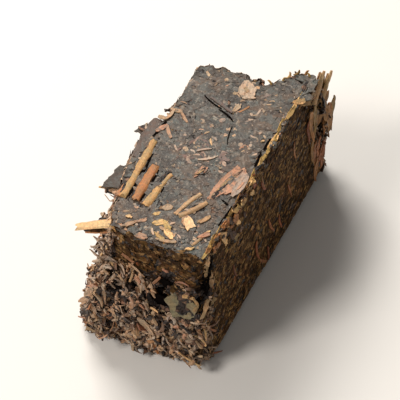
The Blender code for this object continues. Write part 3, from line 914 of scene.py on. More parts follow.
def settled(pieces, place, lift=0.0):
    """The place on some pieces that hides a place from the camera or is hidden by it, raised
    towards the camera by a lift in millimetres. A place beside them all stays."""
    away = (CAMERA_PLACE - spot(place)).normalized()
    start = spot(place) + SETTLE_REACH * MM * away
    rays = [piece.ray_cast(start, -away, distance=2 * SETTLE_REACH * MM) for piece in pieces]
    found = [place for hit, place, _, _ in rays if hit]
    if not found:
        return spot(place)
    return min(found, key=lambda place: (place - start).length) + lift * MM * away


def spot(place):
    """A place given in millimetres from the corner."""
    return CORNER + Vector(place) * MM


def lay(piece, place, direction, facing, tint):
    """Lay a shape at a place, with its length along a direction and its top outwards."""
    forward = Vector(direction).normalized()
    sideways = Vector(facing).cross(forward).normalized()
    turn = Matrix((forward, sideways, forward.cross(sideways))).transposed().to_4x4()
    move(piece, Matrix.Translation(place) @ turn)
    tints = piece.data.attributes.new("tint", "FLOAT", "POINT")
    tints.data.foreach_set("value", [tint] * len(piece.data.vertices))
    return piece


# How the broken sides are crumpled, by large plates and then by small bumps: their size and
# their height, in millimetres
CRUMPLES = (("VORONOI", 2.4, 1.1), ("CLOUDS", 1.1, 0.8))

# Thickness of the skin that the press left, and the least cosine between it and its side
SKIN = 2 * MM
SKIN_COSINE = 0.7

# How high the core is flattened at its underside
UNDERSIDE = 0.6 * MM


def crumple_broken_sides(core):
    """Crumple the core, but hardly on its pressed top and side."""
    broken = core.vertex_groups.new(name="broken")
    for point in core.data.vertices:
        on_top = point.normal.z > SKIN_COSINE and point.co.z > CORNER.z - SKIN
        on_side = point.normal.x > SKIN_COSINE and point.co.x > CORNER.x - SKIN
        share = 0.1 if on_top else 0.2 if on_side else 1.0
        broken.add([point.index], share, "REPLACE")
    for kind, scale, strength in CRUMPLES:
        texture = bpy.data.textures.new("crumple", kind)
        texture.noise_scale = scale * MM
        apply(core, "DISPLACE", texture=texture, texture_coords="LOCAL",
              strength=strength * MM, mid_level=0.5, vertex_group="broken")


def push_in_hollows(core, middles):
    """Push the core in round the middles of the hollows, softly towards their rims."""
    for middle, (_, radius, push) in zip(middles, HOLLOWS):
        in_edit_mode(core, lambda co: (co - middle).length < 0.6 * radius * MM)
        bpy.ops.transform.translate(value=Vector(push) * MM, use_proportional_edit=True,
                                    proportional_size=0.5 * radius * MM)
        bpy.ops.object.mode_set(mode="OBJECT")


def build_core(sizes, colours):
    """The core: the solid's own form, remeshed fine, with crumpled broken sides, hollows and
    a flat underside."""
    core = copy_of(frame["nodes"][NODE])
    in_edit_mode(core, lambda co: True)
    bpy.ops.mesh.remove_doubles(threshold=0.001 * MM)
    bpy.ops.object.mode_set(mode="OBJECT")
    apply(core, "REMESH", mode="VOXEL", voxel_size=sizes.grain)
    crumple_broken_sides(core)
    middles = [settled([core], place) for place, _, _ in HOLLOWS]
    push_in_hollows(core, middles)
    in_edit_mode(core, lambda co: co.z < UNDERSIDE)
    bpy.ops.transform.resize(value=(1, 1, 0), center_override=(0, 0, 0))
    bpy.ops.object.mode_set(mode="OBJECT")
    bare = core.data.attributes.new("bare", "FLOAT", "POINT")
    bare.data.foreach_set("value", [bareness(point.co, middles) for point in core.data.vertices])
    finish_piece(core, "tea_core", leaf_mass(colours))
    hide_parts(NODE)
    return core


def build_top_leaves(core, colours):
    """Leaves pressed flat into the top, with small pale specks on them."""
    low = (LOW.x, LOW.y, CORNER.z - SKIN)
    high = (HIGH.x, HIGH.y, CORNER.z + 0.5 * MM)
    face = dict(facing=UP, low=low, high=high, least=0.8, trim=True, clear=0.95)
    rules = [
        Spread("pressed_leaves", 14, 11, **face, grain=(0.2, 1, 0), turn=1.6,
               tilt=(0.03, 0.015), lift=(-0.05, 0.10), reach=0.3, tints=(0.0, 0.8)),
        Spread("fragments", 34, 12, **face, tilt=(0.05, 0.02), lift=(0.0, 0.14),
               reach=0.34, tints=(0.0, 0.88)),
        Spread("fragments", 16, 15, **face, tilt=(0.08, 0.03),
               lift=(0.04, 0.20), reach=0.36, long=(0.2, 0.5),
               wide=(0.4, 1.0), tints=(0.82, 0.93)),
    ]
    return spread(core, rules, "top_leaves", satin_pressed_leaf(colours))


# Patches of the top with chips of one sort: the corners of a box from the corner (to the
# pressed side, from the near end), the density and the tints
CHIP_PATCHES = (
    ((-42, -2), (2, 74), 1.6, (0.45, 0.88)), ((-31, -1), (-1, 11), 4, (0.46, 0.62)),
    ((-31, -1), (-1, 24), 2.4, (0.46, 0.80)), ((-21, 64), (-14, 73), 46, (0.54, 0.62)),
    ((-28, 32), (-9, 43), 26, (0.36, 0.50)), ((-28, 33), (-12, 41), 6, (0.56, 0.80)),
    ((-20, 43), (-3, 62), 8, (0.44, 0.60)), ((-14, -1), (-5, 9), 9, (0.40, 0.70)),
    ((-12, 60), (-3, 76), 6, (0.40, 0.56)), ((-36, 4), (-28, 12), 6, (0.56, 0.62)),
)


def build_top_chips(core, colours):
    """Small rubbed chips, thick in some patches of the top and rare in others."""
    rules = []
    for index, (first, last, density, tints) in enumerate(CHIP_PATCHES):
        rules.append(Spread("fragments", density, 111 + 6 * index, UP,
                            spot((*first, -2)), spot((*last, 1)), least=0.8, trim=True,
                            clear=0.95, grain=(1, 0.3, 0), turn=1.2, tilt=(0.08, 0.03),
                            lift=(0.08, 0.22), reach=0.38, long=(0.2, 0.8),
                            wide=(0.4, 1.1), tints=tints))
    return spread(core, rules, "top_chips", rubbed_leaf(colours))


def build_side_leaves(core, colours):
    """Fine leaf fragments of the pressed side."""
    low = (CORNER.x - 2.5 * MM, LOW.y, 0.5 * MM)
    face = dict(facing=OUT_RIGHT, low=low, high=tuple(HIGH), least=0.6, trim=True, clear=0.9)
    rules = [
        Spread("pressed_leaves", 12, 21, **face, turn=0.9, tilt=(0.06, 0.03),
               lift=(-0.05, 0.12), long=(0.3, 0.6), reach=0.4, tints=(0.0, 0.8)),
        Spread("fragments", 34, 22, **face, turn=1.1, tilt=(0.10, 0.05), long=(0.3, 1.0),
               lift=(0.0, 0.22), reach=0.42),
        Spread("fragments", 16, 24, **face, turn=1.1, tilt=(0.10, 0.05), long=(0.2, 0.6),
               wide=(0.5, 1.2), lift=(0.1, 0.3), reach=0.5, tints=(0.82, 0.93)),
    ]
    return spread(core, rules, "side_leaves", matte_pressed_leaf(colours))


def broken_sides():
    """The broken parts of the near end, the far end and the left side, for a rule."""
    under_top = CORNER.z - SKIN
    flush = CORNER.z - 0.3 * MM
    return {
        "near": dict(facing=OUT_NEAR, low=(LOW.x, LOW.y, 0.5 * MM),
                     high=(HIGH.x, CORNER.y + 8 * MM, CORNER.z - 16 * MM),
                     grain=(0, 0, 1), ceiling=flush),
        "far": dict(facing=OUT_FAR, low=(LOW.x, CORNER.y + 60 * MM, 0.5 * MM),
                    high=(HIGH.x, HIGH.y, under_top), grain=(0, 0, 1), ceiling=flush),
        "left": dict(facing=OUT_LEFT, low=(LOW.x, CORNER.y + 3 * MM, 0.5 * MM),
                     high=(CORNER.x - 25 * MM, HIGH.y, under_top), grain=(0, 0.3, 1),
                     ceiling=flush),
    }


def build_near_skin(core, colours):
    """The upper part of the near end, where leaves are still pressed together."""
    face = dict(facing=OUT_NEAR, low=(LOW.x, LOW.y, CORNER.z - 19 * MM),
                high=(HIGH.x, CORNER.y + 8 * MM, CORNER.z), least=0.3, align=0.7, trim=True,
                clear=0.9, ceiling=CORNER.z + 0.1 * MM)
    rules = [
        Spread("pressed_leaves", 12, 51, **face, grain=(1, 0, 0), turn=0.9,
               tilt=(0.2, 0.06), lift=(0.0, 0.25), long=(0.3, 0.6), reach=0.6, tints=(0.0, 0.8)),
        Spread("fragments", 36, 52, **face, grain=(1, 0, 0), turn=1.8, long=(0.3, 1.0),
               tilt=(0.3, 0.15), lift=(0.0, 0.35), reach=0.7),
    ]
    return spread(core, rules, "near_skin", matte_pressed_leaf(colours))


def build_broken_leaves(core, colours):
    """Rolled and curled loose leaves of the broken sides, one piece for each side."""
    material = curled_leaf(colours)
    for index, (side, place) in enumerate(broken_sides().items()):
        common = dict(**place, least=0.15, align=0.3, clear=0.7)
        share = 0.84 if side == "left" else 1.0
        rules = [
            Spread("strands", 14 * share, 31 + 10 * index, **common, turn=1.2,
                   tilt=(0.6, 0.7), lift=(0.0, 0.6), reach=2.0, tints=(0.0, 0.8)),
            Spread("wires", 11 * share, 33 + 10 * index, **common, turn=1.0,
                   tilt=(0.6, 0.8), lift=(0.2, 0.9), reach=2.2, tints=(0.1, 0.9)),
            Spread("flakes", 8 * share, 35 + 10 * index, **common, turn=1.8,
                   tilt=(0.6, 0.5), lift=(0.0, 0.6), reach=2.0, tints=(0.1, 0.8)),
            # Pale strands lifted out of the surface: their tints are partly the leaves' own and
            # partly painted highlights
            Spread("strands", 13 * share, 38 + 10 * index, **common, turn=0.9,
                   tilt=(0.5, 0.7), lift=(0.5, 1.3), long=(0.35, 0.8),
                   wide=(0.6, 1.0), reach=2.4, tints=(0.66, 0.90)),
        ]
        spread(core, rules, side + "_leaves", material)


def build_stems(core, colours):
    """Loose stems of the broken sides."""
    rules = []
    for index, place in enumerate(broken_sides().values()):
        rules.append(Spread("stems", 2.0, 71 + 5 * index, **place, least=0.2, align=0.3,
                            turn=1.8, tilt=(0.3, 0.5), lift=(0.3, 1.0), reach=2.6))
    return spread(core, rules, "loose_stems", woody_stem(colours))


# The axes of a place, and where the loose surface of the near end lies on the second one, in
# millimetres from the corner
X, Y, Z = range(3)
NEAR_SURFACE = -2.5


def table(facing, rows, plane=None, bends=()):
    """The single leaves and stems of one kind: each one's start, end, direction faced,
    width, four bends and tint.

    facing: the direction that they face, unless a row ends with its own
    rows: a start and an end from the corner (to the pressed side, from the near end, up)
        and a width, all in millimetres, then the bends in radians, and the tint
    plane: the axis and the level of the places that give only the other two numbers
    bends: the curl, roll and twist of the rows that give only their bow
    """
    def whole(place):
        if len(place) == 3:
            return place
        axis, level = plane
        return (*place[:axis], level, *place[axis:])

    return [(whole(start), whole(end), *(own or (facing,)), width,
             four(bent if isinstance(bent, tuple) else (bent, *bends)), tint)
            for start, end, width, bent, tint, *own in rows]


# Sticks and straws on the top
TOP_STEMS = table(UP, rows=(
    ((-33.6, 12, 0.3), (-34.9, 35.8, 0.3), 2.8, (0.06, 0.02), 0.8),
    ((-35.3, 11.6, 0.1), (-35.2, 16.6, 0.1), 1.6, (0.1, 0.02), 0.36),
    ((-29.5, 12.2, 0.3), (-30, 27, 0.3), 3.3, (-0.05, 0.02), 0.4),
    ((-25.5, 11.4, 0.2), (-24.8, 19.8, 0.2), 3, (0.25, 0.02), 0.8),
    ((-25, 17.8, 0.3), (-24.2, 26, 0.3), 1.6, (-0.5, 0.02), 0.76),
    ((-19.5, 44.9, 0.1), (-17.5, 42.1, 0.1), 0.7, 0.2, 0.9),
    ((-15.5, 58.2, 0.1), (-13.6, 61.8, 0.1), 0.8, 0.2, 0.44),
    ((-15.8, 12.4, 0.5), (-12.2, 22.9, 0.5), 1.7, -0.35, 0.63),
    ((-13.8, 12, 0.5), (-8.2, 20.6, 0.5), 1.9, 0.3, 0.65),
    ((-5.3, 3.7, 0.2), (-3.7, 8.6, 0.2), 1, 0.3, 0.66),
))

# Narrow leaves on the top, most of them near its far left corner
TOP_STRIPS = table(UP, plane=(Z, 0.3), bends=(0.1, 0.3), rows=(
    ((-36.4, 39.8), (-34, 43.8), 1.7, 0.3, 0.8), ((-34.2, 43.2), (-30.8, 39.2), 1.1, 0.5, 0.72),
    ((-35.6, 45.6), (-34.9, 50.6), 1.2, (0.4, 0.3, 0.3), 0.64),
    ((-35.3, 50.2), (-32.4, 50.6), 1.5, (0.5, 0.3, 0.3), 0.62),
    ((-33, 50.8), (-29, 47.2), 1, 0.3, 0.68),
    ((-38.6, 45.8, 0.2), (-35.4, 46.1, 0.2), 1.5, (0.3, 0.3, 0.3), 0.6),
    ((-26.6, 60.2, 0.4), (-17.4, 57.1, 0.4), 1.2, (-0.2, 0, 0.4), 0.3),
    ((-21, 38), (-17, 41), 0.7, (-0.4, 0), 0.46),
    ((-18.6, 34.6), (-13.4, 38.6), 0.7, (0.6, 0), 0.5),
    ((-37.3, 28, -0.1), (-38.4, 45.2, -0.2), 4.2, (0.05, -0.1, 0.2), 0.24),
    ((-16.8, 1.2), (-10.2, 2.6), 1, (0.4, 0), 0.62),
))

# Broad flakes on the top
TOP_SCRAPS = table(UP, bends=(0.1, 0.3), rows=(
    ((-8.6, 21.6, 0.35), (-3, 37.6, 0.35), 5.8, (0.1, 0.05, 0.3), 0.82),
    ((-2.2, 25.8, 0.55), (-2.4, 36.4, 0.55), 3.6, (0.1, 0.05, 0.2), 0.46),
    ((-16.9, 28.2, 0.25), (-14.9, 33.2, 0.3), 2.3, (0.2, 0.1, 0.4), 0.82),
    ((-12.9, 13.4, 0.25), (-9.4, 10, 0.3), 3, 0.2, 0.7),
    ((-14.8, 13.4, 0.15), (-11.4, 20.4, 0.2), 1.8, (0.1, 0), 0.06),
    ((-19.6, 71.8, 0.3), (-15.1, 64.2, 0.3), 4.8, (0.1, 0.05, 0.3), 0.54),
    ((-17.3, 57.2, 0.2), (-16.8, 61.4, 0.3), 1.7, (0.2, 0.1, 0.4), 0.58),
    ((-20.5, 12.7, 0.2), (-17.7, 14.8, 0.3), 1.9, (0.2, 0.1, 0.4), 0.58),
    ((-23, 0.2, 0.2), (-19.2, 0.8, 0.2), 1.9, 0.2, 0.74),
    ((-28.8, 0.8, 0.2), (-25.4, 4.8, 0.2), 1.6, 0.2, 0.66),
    ((-25.8, 4.4, 0.2), (-22.6, 7, 0.2), 1.3, 0.2, 0.72),
))

# Greenish tan scraps near the front of the top
FRONT_SCRAPS = table(UP, plane=(Z, 0.25), bends=(0.1, 0.3), rows=(
    ((-20.4, 6), (-16.8, 8.9), 2, 0.2, 0.86), ((-17.8, 8.6), (-13.4, 5.4), 2, 0.3, 0.8),
    ((-15.6, 6), (-11.9, 3.4), 2.2, 0.2, 0.92), ((-18, 3.4), (-13.8, 1.8), 1.4, 0.3, 0.84),
    ((-22, 9.4), (-19.8, 11), 1.3, 0.2, 0.86), ((-3.8, 8.8), (-2.6, 11.5), 1.1, 0.2, 0.88),
    ((-6.6, 1.4), (-4.6, 3.2), 1, 0.2, 0.88),
))

# Pressed leaf that carries the top on at the far end of its right edge
CORNER_FLAKES = table(UP, bends=(0.05, 0.2), rows=(
    ((-1.8, 71.6, 0.2), (1.6, 80, 0.3), 5, 0.1, 0.5),
    ((-0.9, 70.2, 0.1), (2.4, 75, -0.2), 3, 0.1, 0.34),
    ((-5.4, 79, 0.3), (1, 81, 0.4), 3.2, 0.1, 0.62),
))

# The brightest bits of the top, of split wood: the pale flake, the light edge of the large
# one and small chips
TOP_BITS = table(UP, plane=(Z, 0.4), rows=(
    ((-11.6, 12.9, 0.5), (-7.6, 8.4, 0.5), 3.2, (0.2, 0.05, 0.3), 0.98),
    ((-8.8, 22.6, 0.45), (-4.9, 35.8, 0.45), 0.9, -0.25, 0.7),
    ((-16.7, 28.8, 0.5), (-15.1, 32.6, 0.5), 0.9, 0.2, 0.7),
    ((-4.9, 7.2), (-2.1, 10.2), 1.5, 0.3, 0.22), ((-7.8, 12), (-4.6, 16.2), 1.3, 0.4, 0.66),
    ((-29.2, 5.2), (-27.4, 6), 1.2, 0.4, 0.9), ((-3.9, 49.8), (-2.9, 50.6), 0.9, 0, 0.95),
    ((-18.6, 68.6, 0.5), (-16.6, 67, 0.5), 1.3, (0.2, 0, 0.2), 0.62),
))

# Flakes that stick out of the broken left side, below the top
LEFT_SCRAPS = table((-0.3, 0, 1), rows=(
    ((-36.4, 18, -1.6), (-43, 19.4, -3), 7.6, (0.1, -0.6, 0.5, 0.2), 0.2, (-0.2, 0, 1)),
    ((-38.2, 24.6, -4.6), (-44.4, 25.8, -6.8), 5.2, (0.2, -0.7, 0.5, 0.2), 0.14),
    ((-38.6, 41.4, -2.6), (-44.4, 42.4, -4.4), 4.6, (0, -0.7, 0.5), 0.18),
))

# Painted shade: dark strips for the shade in each crack between the leaves of the top, beside the
# stems there, and in the far cleft of the pressed side
PAINTED_SHADE_STRIPS = table(UP, rows=(
    ((-29.1, 59.6, 0.35), (-21.4, 56.7, 0.4), 0.5, 0.4, 0),
    ((-21.9, 56.9, 0.4), (-15.4, 54.2, 0.35), 0.6, -0.5, 0),
    ((-15.3, 51.8, 0.3), (-13.5, 44.4, 0.3), 0.3, 0.3, 0),
    ((-35.3, 45, 0.25), (-36.3, 37.6, 0.25), 0.9, 0.1, 0),
    ((-32, 12.8, 0.3), (-33, 31, 0.3), 1.1, 0.05, 0),
    ((-27.9, 13, 0.3), (-28.2, 26.6, 0.3), 0.9, 0.05, 0),
    ((-23.6, 14, 0.3), (-23.4, 20.6, 0.3), 0.6, 0.2, 0),
    ((-1.7, 52.4, 0.3), (-1.7, 47.2, 0.3), 0.8, 0.2, 0),
    ((-1.9, 46.2, 0.3), (-1.2, 39.2, 0.3), 0.6, -0.1, 0),
    ((-0.2, 24, 0.2), (-0.1, 33.4, 0.2), 0.9, 0.1, 0),
    ((-1.2, 14, 0.2), (-0.7, 22.6, 0.2), 0.8, 0.2, 0),
    ((-4.9, 23.6, 0.25), (-2.2, 22.4, 0.25), 0.8, 0.3, 0),
    ((-1.3, 82.4, -16), (-1.3, 81.2, -36), 1.8, 0.1, 0, OUT_RIGHT),
))

# Rolled leaves on the skin of the near end, and loose ones below it; their pale tints are partly
# painted highlights on the curls
NEAR_STRANDS = table(OUT_NEAR, plane=(Y, NEAR_SURFACE), bends=(0.4, 0, 2), rows=(
    ((-34.4, -20.6), (-32.8, -15.2), 1.1, (-0.5, 0.3, 0, 0.5), 0.7),
    ((-33.4, -15.8), (-27.2, -14.4), 1.1, (-1.2, 0.3, 0, 0.5), 0.74),
    ((-28, -14), (-26.7, -19), 1, (-0.6, 0.3, 0, 0.5), 0.68),
    ((-25, -12.2), (-20.5, -15.6), 1, (0.6, 0.5, 0, 0.5), 0.86),
    ((-13.7, -20.5), (-10.1, -18.9), 0.9, (-0.7, 0.4, 0, 0.8), 0.74),
    ((-8.8, -12.2), (-7.6, -17.4), 0.8, (0.9, 0.2, 0, 0.5), 0.97),
    ((-8.4, -12.2), (-3.8, -11.6), 0.8, (-1.2, 0.2, 0, 0.5), 0.97),
    ((-36.6, -23), (-37, -30.2), 1.5, (0.4, 0.4, 0, 1.4), 0.9),
    ((-26.6, -18.2), (-28.3, -27.4), 1.5, (0.5, 0.4, 0, 1.8), 0.88),
    ((-22.2, -19.4), (-21.3, -26), 1.5, (-0.5, 0.4, 0, 1.6), 0.78),
    ((-33, -26.2), (-29.3, -19.8), 1.4, (0.6, 0.4, 0, 1.5), 0.74),
    ((-35.4, -29.6), (-35.9, -39.6), 1.5, (0.4, 0.4, 0, 2.2), 0.86),
    ((-38.7, -36.4), (-36.3, -42.6), 1.4, (-0.5, 0.4, 0, 1.6), 0.84),
    ((-30.8, -31), (-31.6, -40.4), 1.5, (0.5, 0.4, 0, 2.4), 0.9),
    ((-25, -30.4), (-25.6, -38.6), 1.4, -0.6, 0.92),
    ((-20.4, -28.6), (-19.6, -36), 1.4, 0.5, 0.8),
    ((-31, -6.6), (-35.4, -4), 1.3, (-0.9, 0.6, 0, 0.6), 0.66, (-0.6, -1, 0.4)),
    ((-32, -12.2), (-37.6, -10.4), 1.3, (0.9, 0.6, 0, 0.6), 0.64, (-0.6, -1, 0.4)),
    ((-34, -15.2), (-38.4, -19.6), 1.3, (-0.9, 0.6, 0, 0.6), 0.7, (-0.6, -1, 0.4)),
    ((-38, -31.4), (-40, -38), 1.2, 0.5, 0.82, (-0.5, -1, 0)),
    ((-41.4, -44.8), (-39.6, -52.4), 1.2, 0.5, 0.86, (-0.4, -1, 0)),
    ((-14.8, -38), (-15.8, -46.4), 1.5, (0.6, 0.4, 0, 2.2), 0.88),
))

# Torn flakes on the near end; their pale tints are partly painted highlights
NEAR_SCRAPS = table(OUT_NEAR, plane=(Y, NEAR_SURFACE), bends=(0.5, 0.9, 0.3), rows=(
    ((-45.6, -45.6), (-40.2, -39.2), 2.8, (0.2, 0.3, 0.9, 0.3), 0.86, (-0.4, -1, 0.2)),
    ((-12.9, -8.2), (-11, -9.2), 1.3, (0.2, 0.1, 0.2), 0.98),
    ((-24, -40.6), (-18.6, -46.8), 3, 0.3, 0.76), ((-9.6, -38.4), (-4.2, -43.4), 3, 0.3, 0.7),
    ((-38.6, -34), (-37, -28.6), 2.4, (0.3, 0.5, 1, 0.3), 0.78, (-0.3, -1, 0)),
    ((-31, -36.6), (-28, -43), 2.6, (0.3, 0.5, 1, 0.3), 0.68),
    ((-36.6, -3.4), (-32.6, -10.6), 3.2, (0.4, 0.4, 1.4, 0.5), 0.66, (-0.6, -1, 0.3)),
    ((-38.6, -12.4), (-33.8, -16.8), 2.8, (0.4, 0.4, 1.4, 0.5), 0.72, (-0.6, -1, 0.3)),
))

# The large grey-green leaf pressed flat on the near end, and its rolled, paler rim
NEAR_FLAKES = table((0, -1, 0.5), rows=(
    ((-12.2, -2.5, -28.6), (-1.6, -2.5, -19.8), 9.6, (0.1, 0.2, 0.4, 0.1), 0.6),
))
FLAKE_RIM = table((0, -1, 0.6), plane=(Y, NEAR_SURFACE), bends=(0.2,), rows=(
    ((-6.4, -19), (-2.2, -18), 1.2, -0.4, 0.78), ((-2.6, -18), (-1, -21.4), 1.3, -0.5, 0.84),
    ((-1.1, -21), (-2.8, -25.6), 1.2, -0.3, 0.7),
))

# Bright bits on the near end: the tan stroke on its skin and split wood below it
NEAR_BITS = table(OUT_NEAR, plane=(Y, NEAR_SURFACE), bends=(0.3, 0, 0.3), rows=(
    ((-27.2, -8.4), (-23, -11), 1.5, (0.2, 0.2), 0.3),
    ((-18.6, -16.8), (-15.8, -23.4), 1.3, 0.5, 0.4), ((-17, -18.9), (-13.8, -13.4), 1, 0.4, 0.3),
    ((-18.4, -32.5), (-16, -33.6), 1.3, -0.5, 0.9),
    ((-15.9, -32.4), (-13.4, -31.6), 1, -0.5, 0.62),
))

# Painted shade: dark patches at the bottoms of the cleft in the pressed side and of the near end's
# round holes
SHADED_GAPS = table(OUT_RIGHT, rows=(
    ((0.3, 5.8, -4.6), (0.3, 3.4, -12.4), 2.6, 0.1, 0),
    ((0.3, 3.8, -11.6), (0.3, 0.6, -18.6), 3.2, 0.1, 0),
    ((0.2, 0.6, -17.6), (-2.4, -2, -21.6), 2.8, 0.1, 0, (1, -1, 0)),
    ((-14.6, -2.5, -15.2), (-10.4, -2.5, -16), 4.4, 0.1, 0, OUT_NEAR),
    ((-18, -2.5, -26.2), (-11, -2.5, -27), 6.8, 0.1, 0, OUT_NEAR),
))

# Pale strips along the edge between the near end and the pressed side
RIGHT_EDGE = table((0.8, -1, 0), plane=(X, 0.3), bends=(0.1, 0.4, 0.2), rows=(
    ((2, 1), (1.8, -4.4), 2.2, (0.3, 0.2, 0.4), 0.96, (0.3, -1, 0.8)),
    ((2.2, -4), (1.6, -9.6), 1.8, 0.1, 0.92, (0.3, -1, 0.5)),
    ((8.4, -4), (5.2, -3), 1.7, -0.2, 0.96, (0.4, -0.3, 1)),
    ((4.4, -18.8), (5.2, -12.2), 1.7, 0.2, 0.66, (0.5, -0.8, 0.5)),
    ((-1.6, -24.2), (5.6, -26), 2, 0.3, 0.96, (0.4, -0.4, 1)),
    ((2.2, -22), (-0.5, -1.4, -29), 1.6, 0.3, 0.66, (0.4, -1, 0)),
    ((0.8, -31), (0.8, -40.5), 1.3, -0.3, 0.74), ((0.7, -41.5), (0.7, -50.5), 1.3, 0.3, 0.66),
))

# Clumps of torn leaf on the near half of the edge between the top and the pressed side
RIM_CLUMPS = table(OUTWARDS, plane=(X, 0.3), bends=(0.4, 0.9, 0.4), rows=(
    ((11.4, -1.4), (14.4, -5), 3, (0.6, 0.6, 0.9, 0.4), 0.96),
    ((13.4, -5), (15.4, -9.2), 2, 0.6, 0.9), ((10.6, 0.8), (12.8, -3), 2.2, -0.6, 0.42),
    ((13, 1.6), (17.4, -1.2), 2.2, 0.6, 0.4), ((16.2, -3), (17.2, -6.6), 2.3, 0.3, 0, OUT_RIGHT),
    ((17.6, -6.2), (21.2, -13), 2.6, 0.3, 0.03, OUT_RIGHT),
    ((18.2, 0.2), (20, -4.8), 2.6, -0.3, 0.02, OUT_RIGHT),
    ((20.6, 0.8), (24.4, -2.8), 1.7, 0.5, 0.88),
    ((21, -1.6), (23.2, -6.8), 2.7, (-0.6, 0.5, 0.9, 0.4), 0.42),
    ((22.6, -5.4), (24.4, -10.6), 2, 0.5, 0.92), ((19.6, -10.2), (23.2, -16), 2, 0.5, 0.66),
    ((24.2, -1.2), (27.2, -2.8), 2.2, 0.5, 0.72), ((26, -2.6), (29.6, -3.4), 1.8, -0.4, 0.86),
    ((25.2, 2.2), (28, 0.8), 2, 0.3, 0.03, OUT_RIGHT),
    ((28, -8.2), (29.2, -12.4), 1.6, 0.3, 0.04, OUT_RIGHT),
    ((30.2, -0.2), (33.2, -0.6), 1.7, (0.3, 0.4, 0.6, 0.2), 0.94),
    ((33, -0.4), (36.6, -0.7), 1.7, (-0.3, 0.4, 0.6, 0.2), 0.88),
    ((40.5, -7.3), (43.3, -14.5), 1.1, (0.3, 0.3, 0.6, 0.2), 0.2, OUT_RIGHT),
))

# Thin reddish slivers on the pressed side
SIDE_SLIVERS = table(OUT_RIGHT, plane=(X, 0.3), bends=(0.2, 0.5, 0.2), rows=(
    ((35.6, -33.5), (37, -44.5), 0.9, 0.3, 0.22), ((37.9, -46.2), (42.5, -52.8), 1.1, 0.4, 0.35),
    ((44.5, -45.8), (45.3, -54.2), 0.9, -0.4, 0.2),
    ((45.1, -32.8), (48.7, -43.2), 0.9, 0.3, 0.28),
    ((0.2, 41.6, -6.2), (0.2, 43, -13), 0.7, (0.2, 0.1, 0.4), 0.55),
    ((53.1, -39.6), (54.9, -48.4), 0.8, 0.3, 0.24),
    ((60.6, -31.2), (63.4, -40.8), 0.7, -0.3, 0.3),
    ((0.2, 65.6, -15.5), (0.2, 66.4, -24.5), 0.7, 0.3, 0.4),
    ((19.2, -26.1), (20.8, -33.9), 0.7, 0.3, 0.15),
))

# The torn layer that stands off the far end of the pressed side
FAR_STRIPS = table((1, -0.2, 0), bends=(0.3, 0.6, 0.3), rows=(
    ((1.2, 78, -28.2), (1.2, 76.4, -8.8), 2.2, (-0.2, 0.2, 0.5, 0.2), 0.5, (1, -0.3, 0)),
    ((1.6, 80, -24.8), (1.6, 79.4, -9.6), 2, (0.2, 0.2, 0.5, 0.2), 0.64, (1, -0.3, 0)),
    ((1.8, 88.6, -28.2), (1.7, 85.2, -13.6), 3, 0.2, 0.56, (1, -0.3, 0)),
    ((2, 91, -36.8), (1.8, 89.2, -21), 3, 0.2, 0.52),
    ((1.2, 83.4, -44.8), (1.4, 88.2, -37), 2.6, 0.3, 0.24),
    ((0.8, 82.6, -41.6), (0.9, 84.8, -32.4), 2.2, -0.3, 0.28),
    ((0.9, 81.6, -46), (0.9, 80, -30), 1.8, -0.3, 0.34),
    ((0.7, 78.6, -40.5), (0.7, 79.4, -26.5), 1.6, -0.3, 0.56),
    ((0.6, 77, -27.4), (0.7, 75.9, -15), 1.6, 0.2, 0.2),
    ((1.4, 85, -49.4), (1.4, 88, -38), 2.2, 0.3, 0.3),
    ((1.2, 80, -51.6), (1.2, 82, -40.6), 2.2, -0.3, 0.48),
    ((1.8, 92.2, -34.4), (1.8, 93.8, -20.4), 2.6, 0.2, 0.66),
    ((0.4, 80, -15.4), (0.6, 86.6, -4.4), 4.6, (0.1, 0.1, 0.5, 0.1), 0.62, (1, -0.4, 0)),
    ((0.2, 77.4, -11.4), (0.2, 82.6, -2.4), 4.4, (0.1, 0.1, 0.5, 0.1), 0.7, (1, -0.4, 0)),
    ((0.6, 83, -24.6), (0.8, 89.4, -12.6), 5, (-0.1, 0.1, 0.5, 0.1), 0.54, (1, -0.4, 0)),
    ((1.2, 87.4, -33), (1.4, 92, -21), 4.2, (0.1, 0.1, 0.5, 0.1), 0.46, (1, -0.4, 0)),
))

# Stout split bits at the far end of the pressed side: two that rise past the top, with pale
# tips, and two behind them, then the torn leaf that joins them to the rim
FAR_FINGERS = table((1, -0.4, 0), bends=(0, 0, 0.4), rows=(
    ((2, 77.8, -8.4), (2.4, 83.8, 1.2), 2.5, 0.12, 0.72),
    ((2, 83.4, -12.8), (2.4, 89.6, -5), 2.4, -0.1, 0.78),
    ((2.6, 82.6, -0.8), (2.7, 84.2, 2), 1.5, (0.1, 0), 0.96),
    ((2.6, 88.4, -6.6), (2.7, 90.2, -4), 1.5, (0.1, 0), 0.96),
    ((0.8, 79.6, -8.2), (1, 84.6, 0), 1.8, -0.1, 0.56),
    ((1.2, 85.2, -12.4), (1.2, 90.6, -6.4), 1.6, -0.1, 0.6),
))

FAR_KNOT = table((1, -0.3, 0.3), bends=(0.3, 0.6, 0.2), rows=(
    ((-1.4, 69.2, 0.3), (1.8, 71.4, 0.1), 2, 0.4, 0.84, (0.3, -0.3, 1)),
    ((0.6, 70, -0.2), (2.8, 72.8, -1.4), 2, -0.4, 0.66, (0.6, -0.3, 0.6)),
    ((1, 71.8, -1), (1.8, 76.4, -2.6), 2.6, 0.4, 0.76),
    ((1.5, 75, -2.8), (2, 80, -3.6), 2.4, -0.4, 0.7),
    ((1.8, 77.4, -4.8), (2.2, 81.4, -6), 1.8, 0.4, 0.44, (1, -0.3, 0.2)),
))

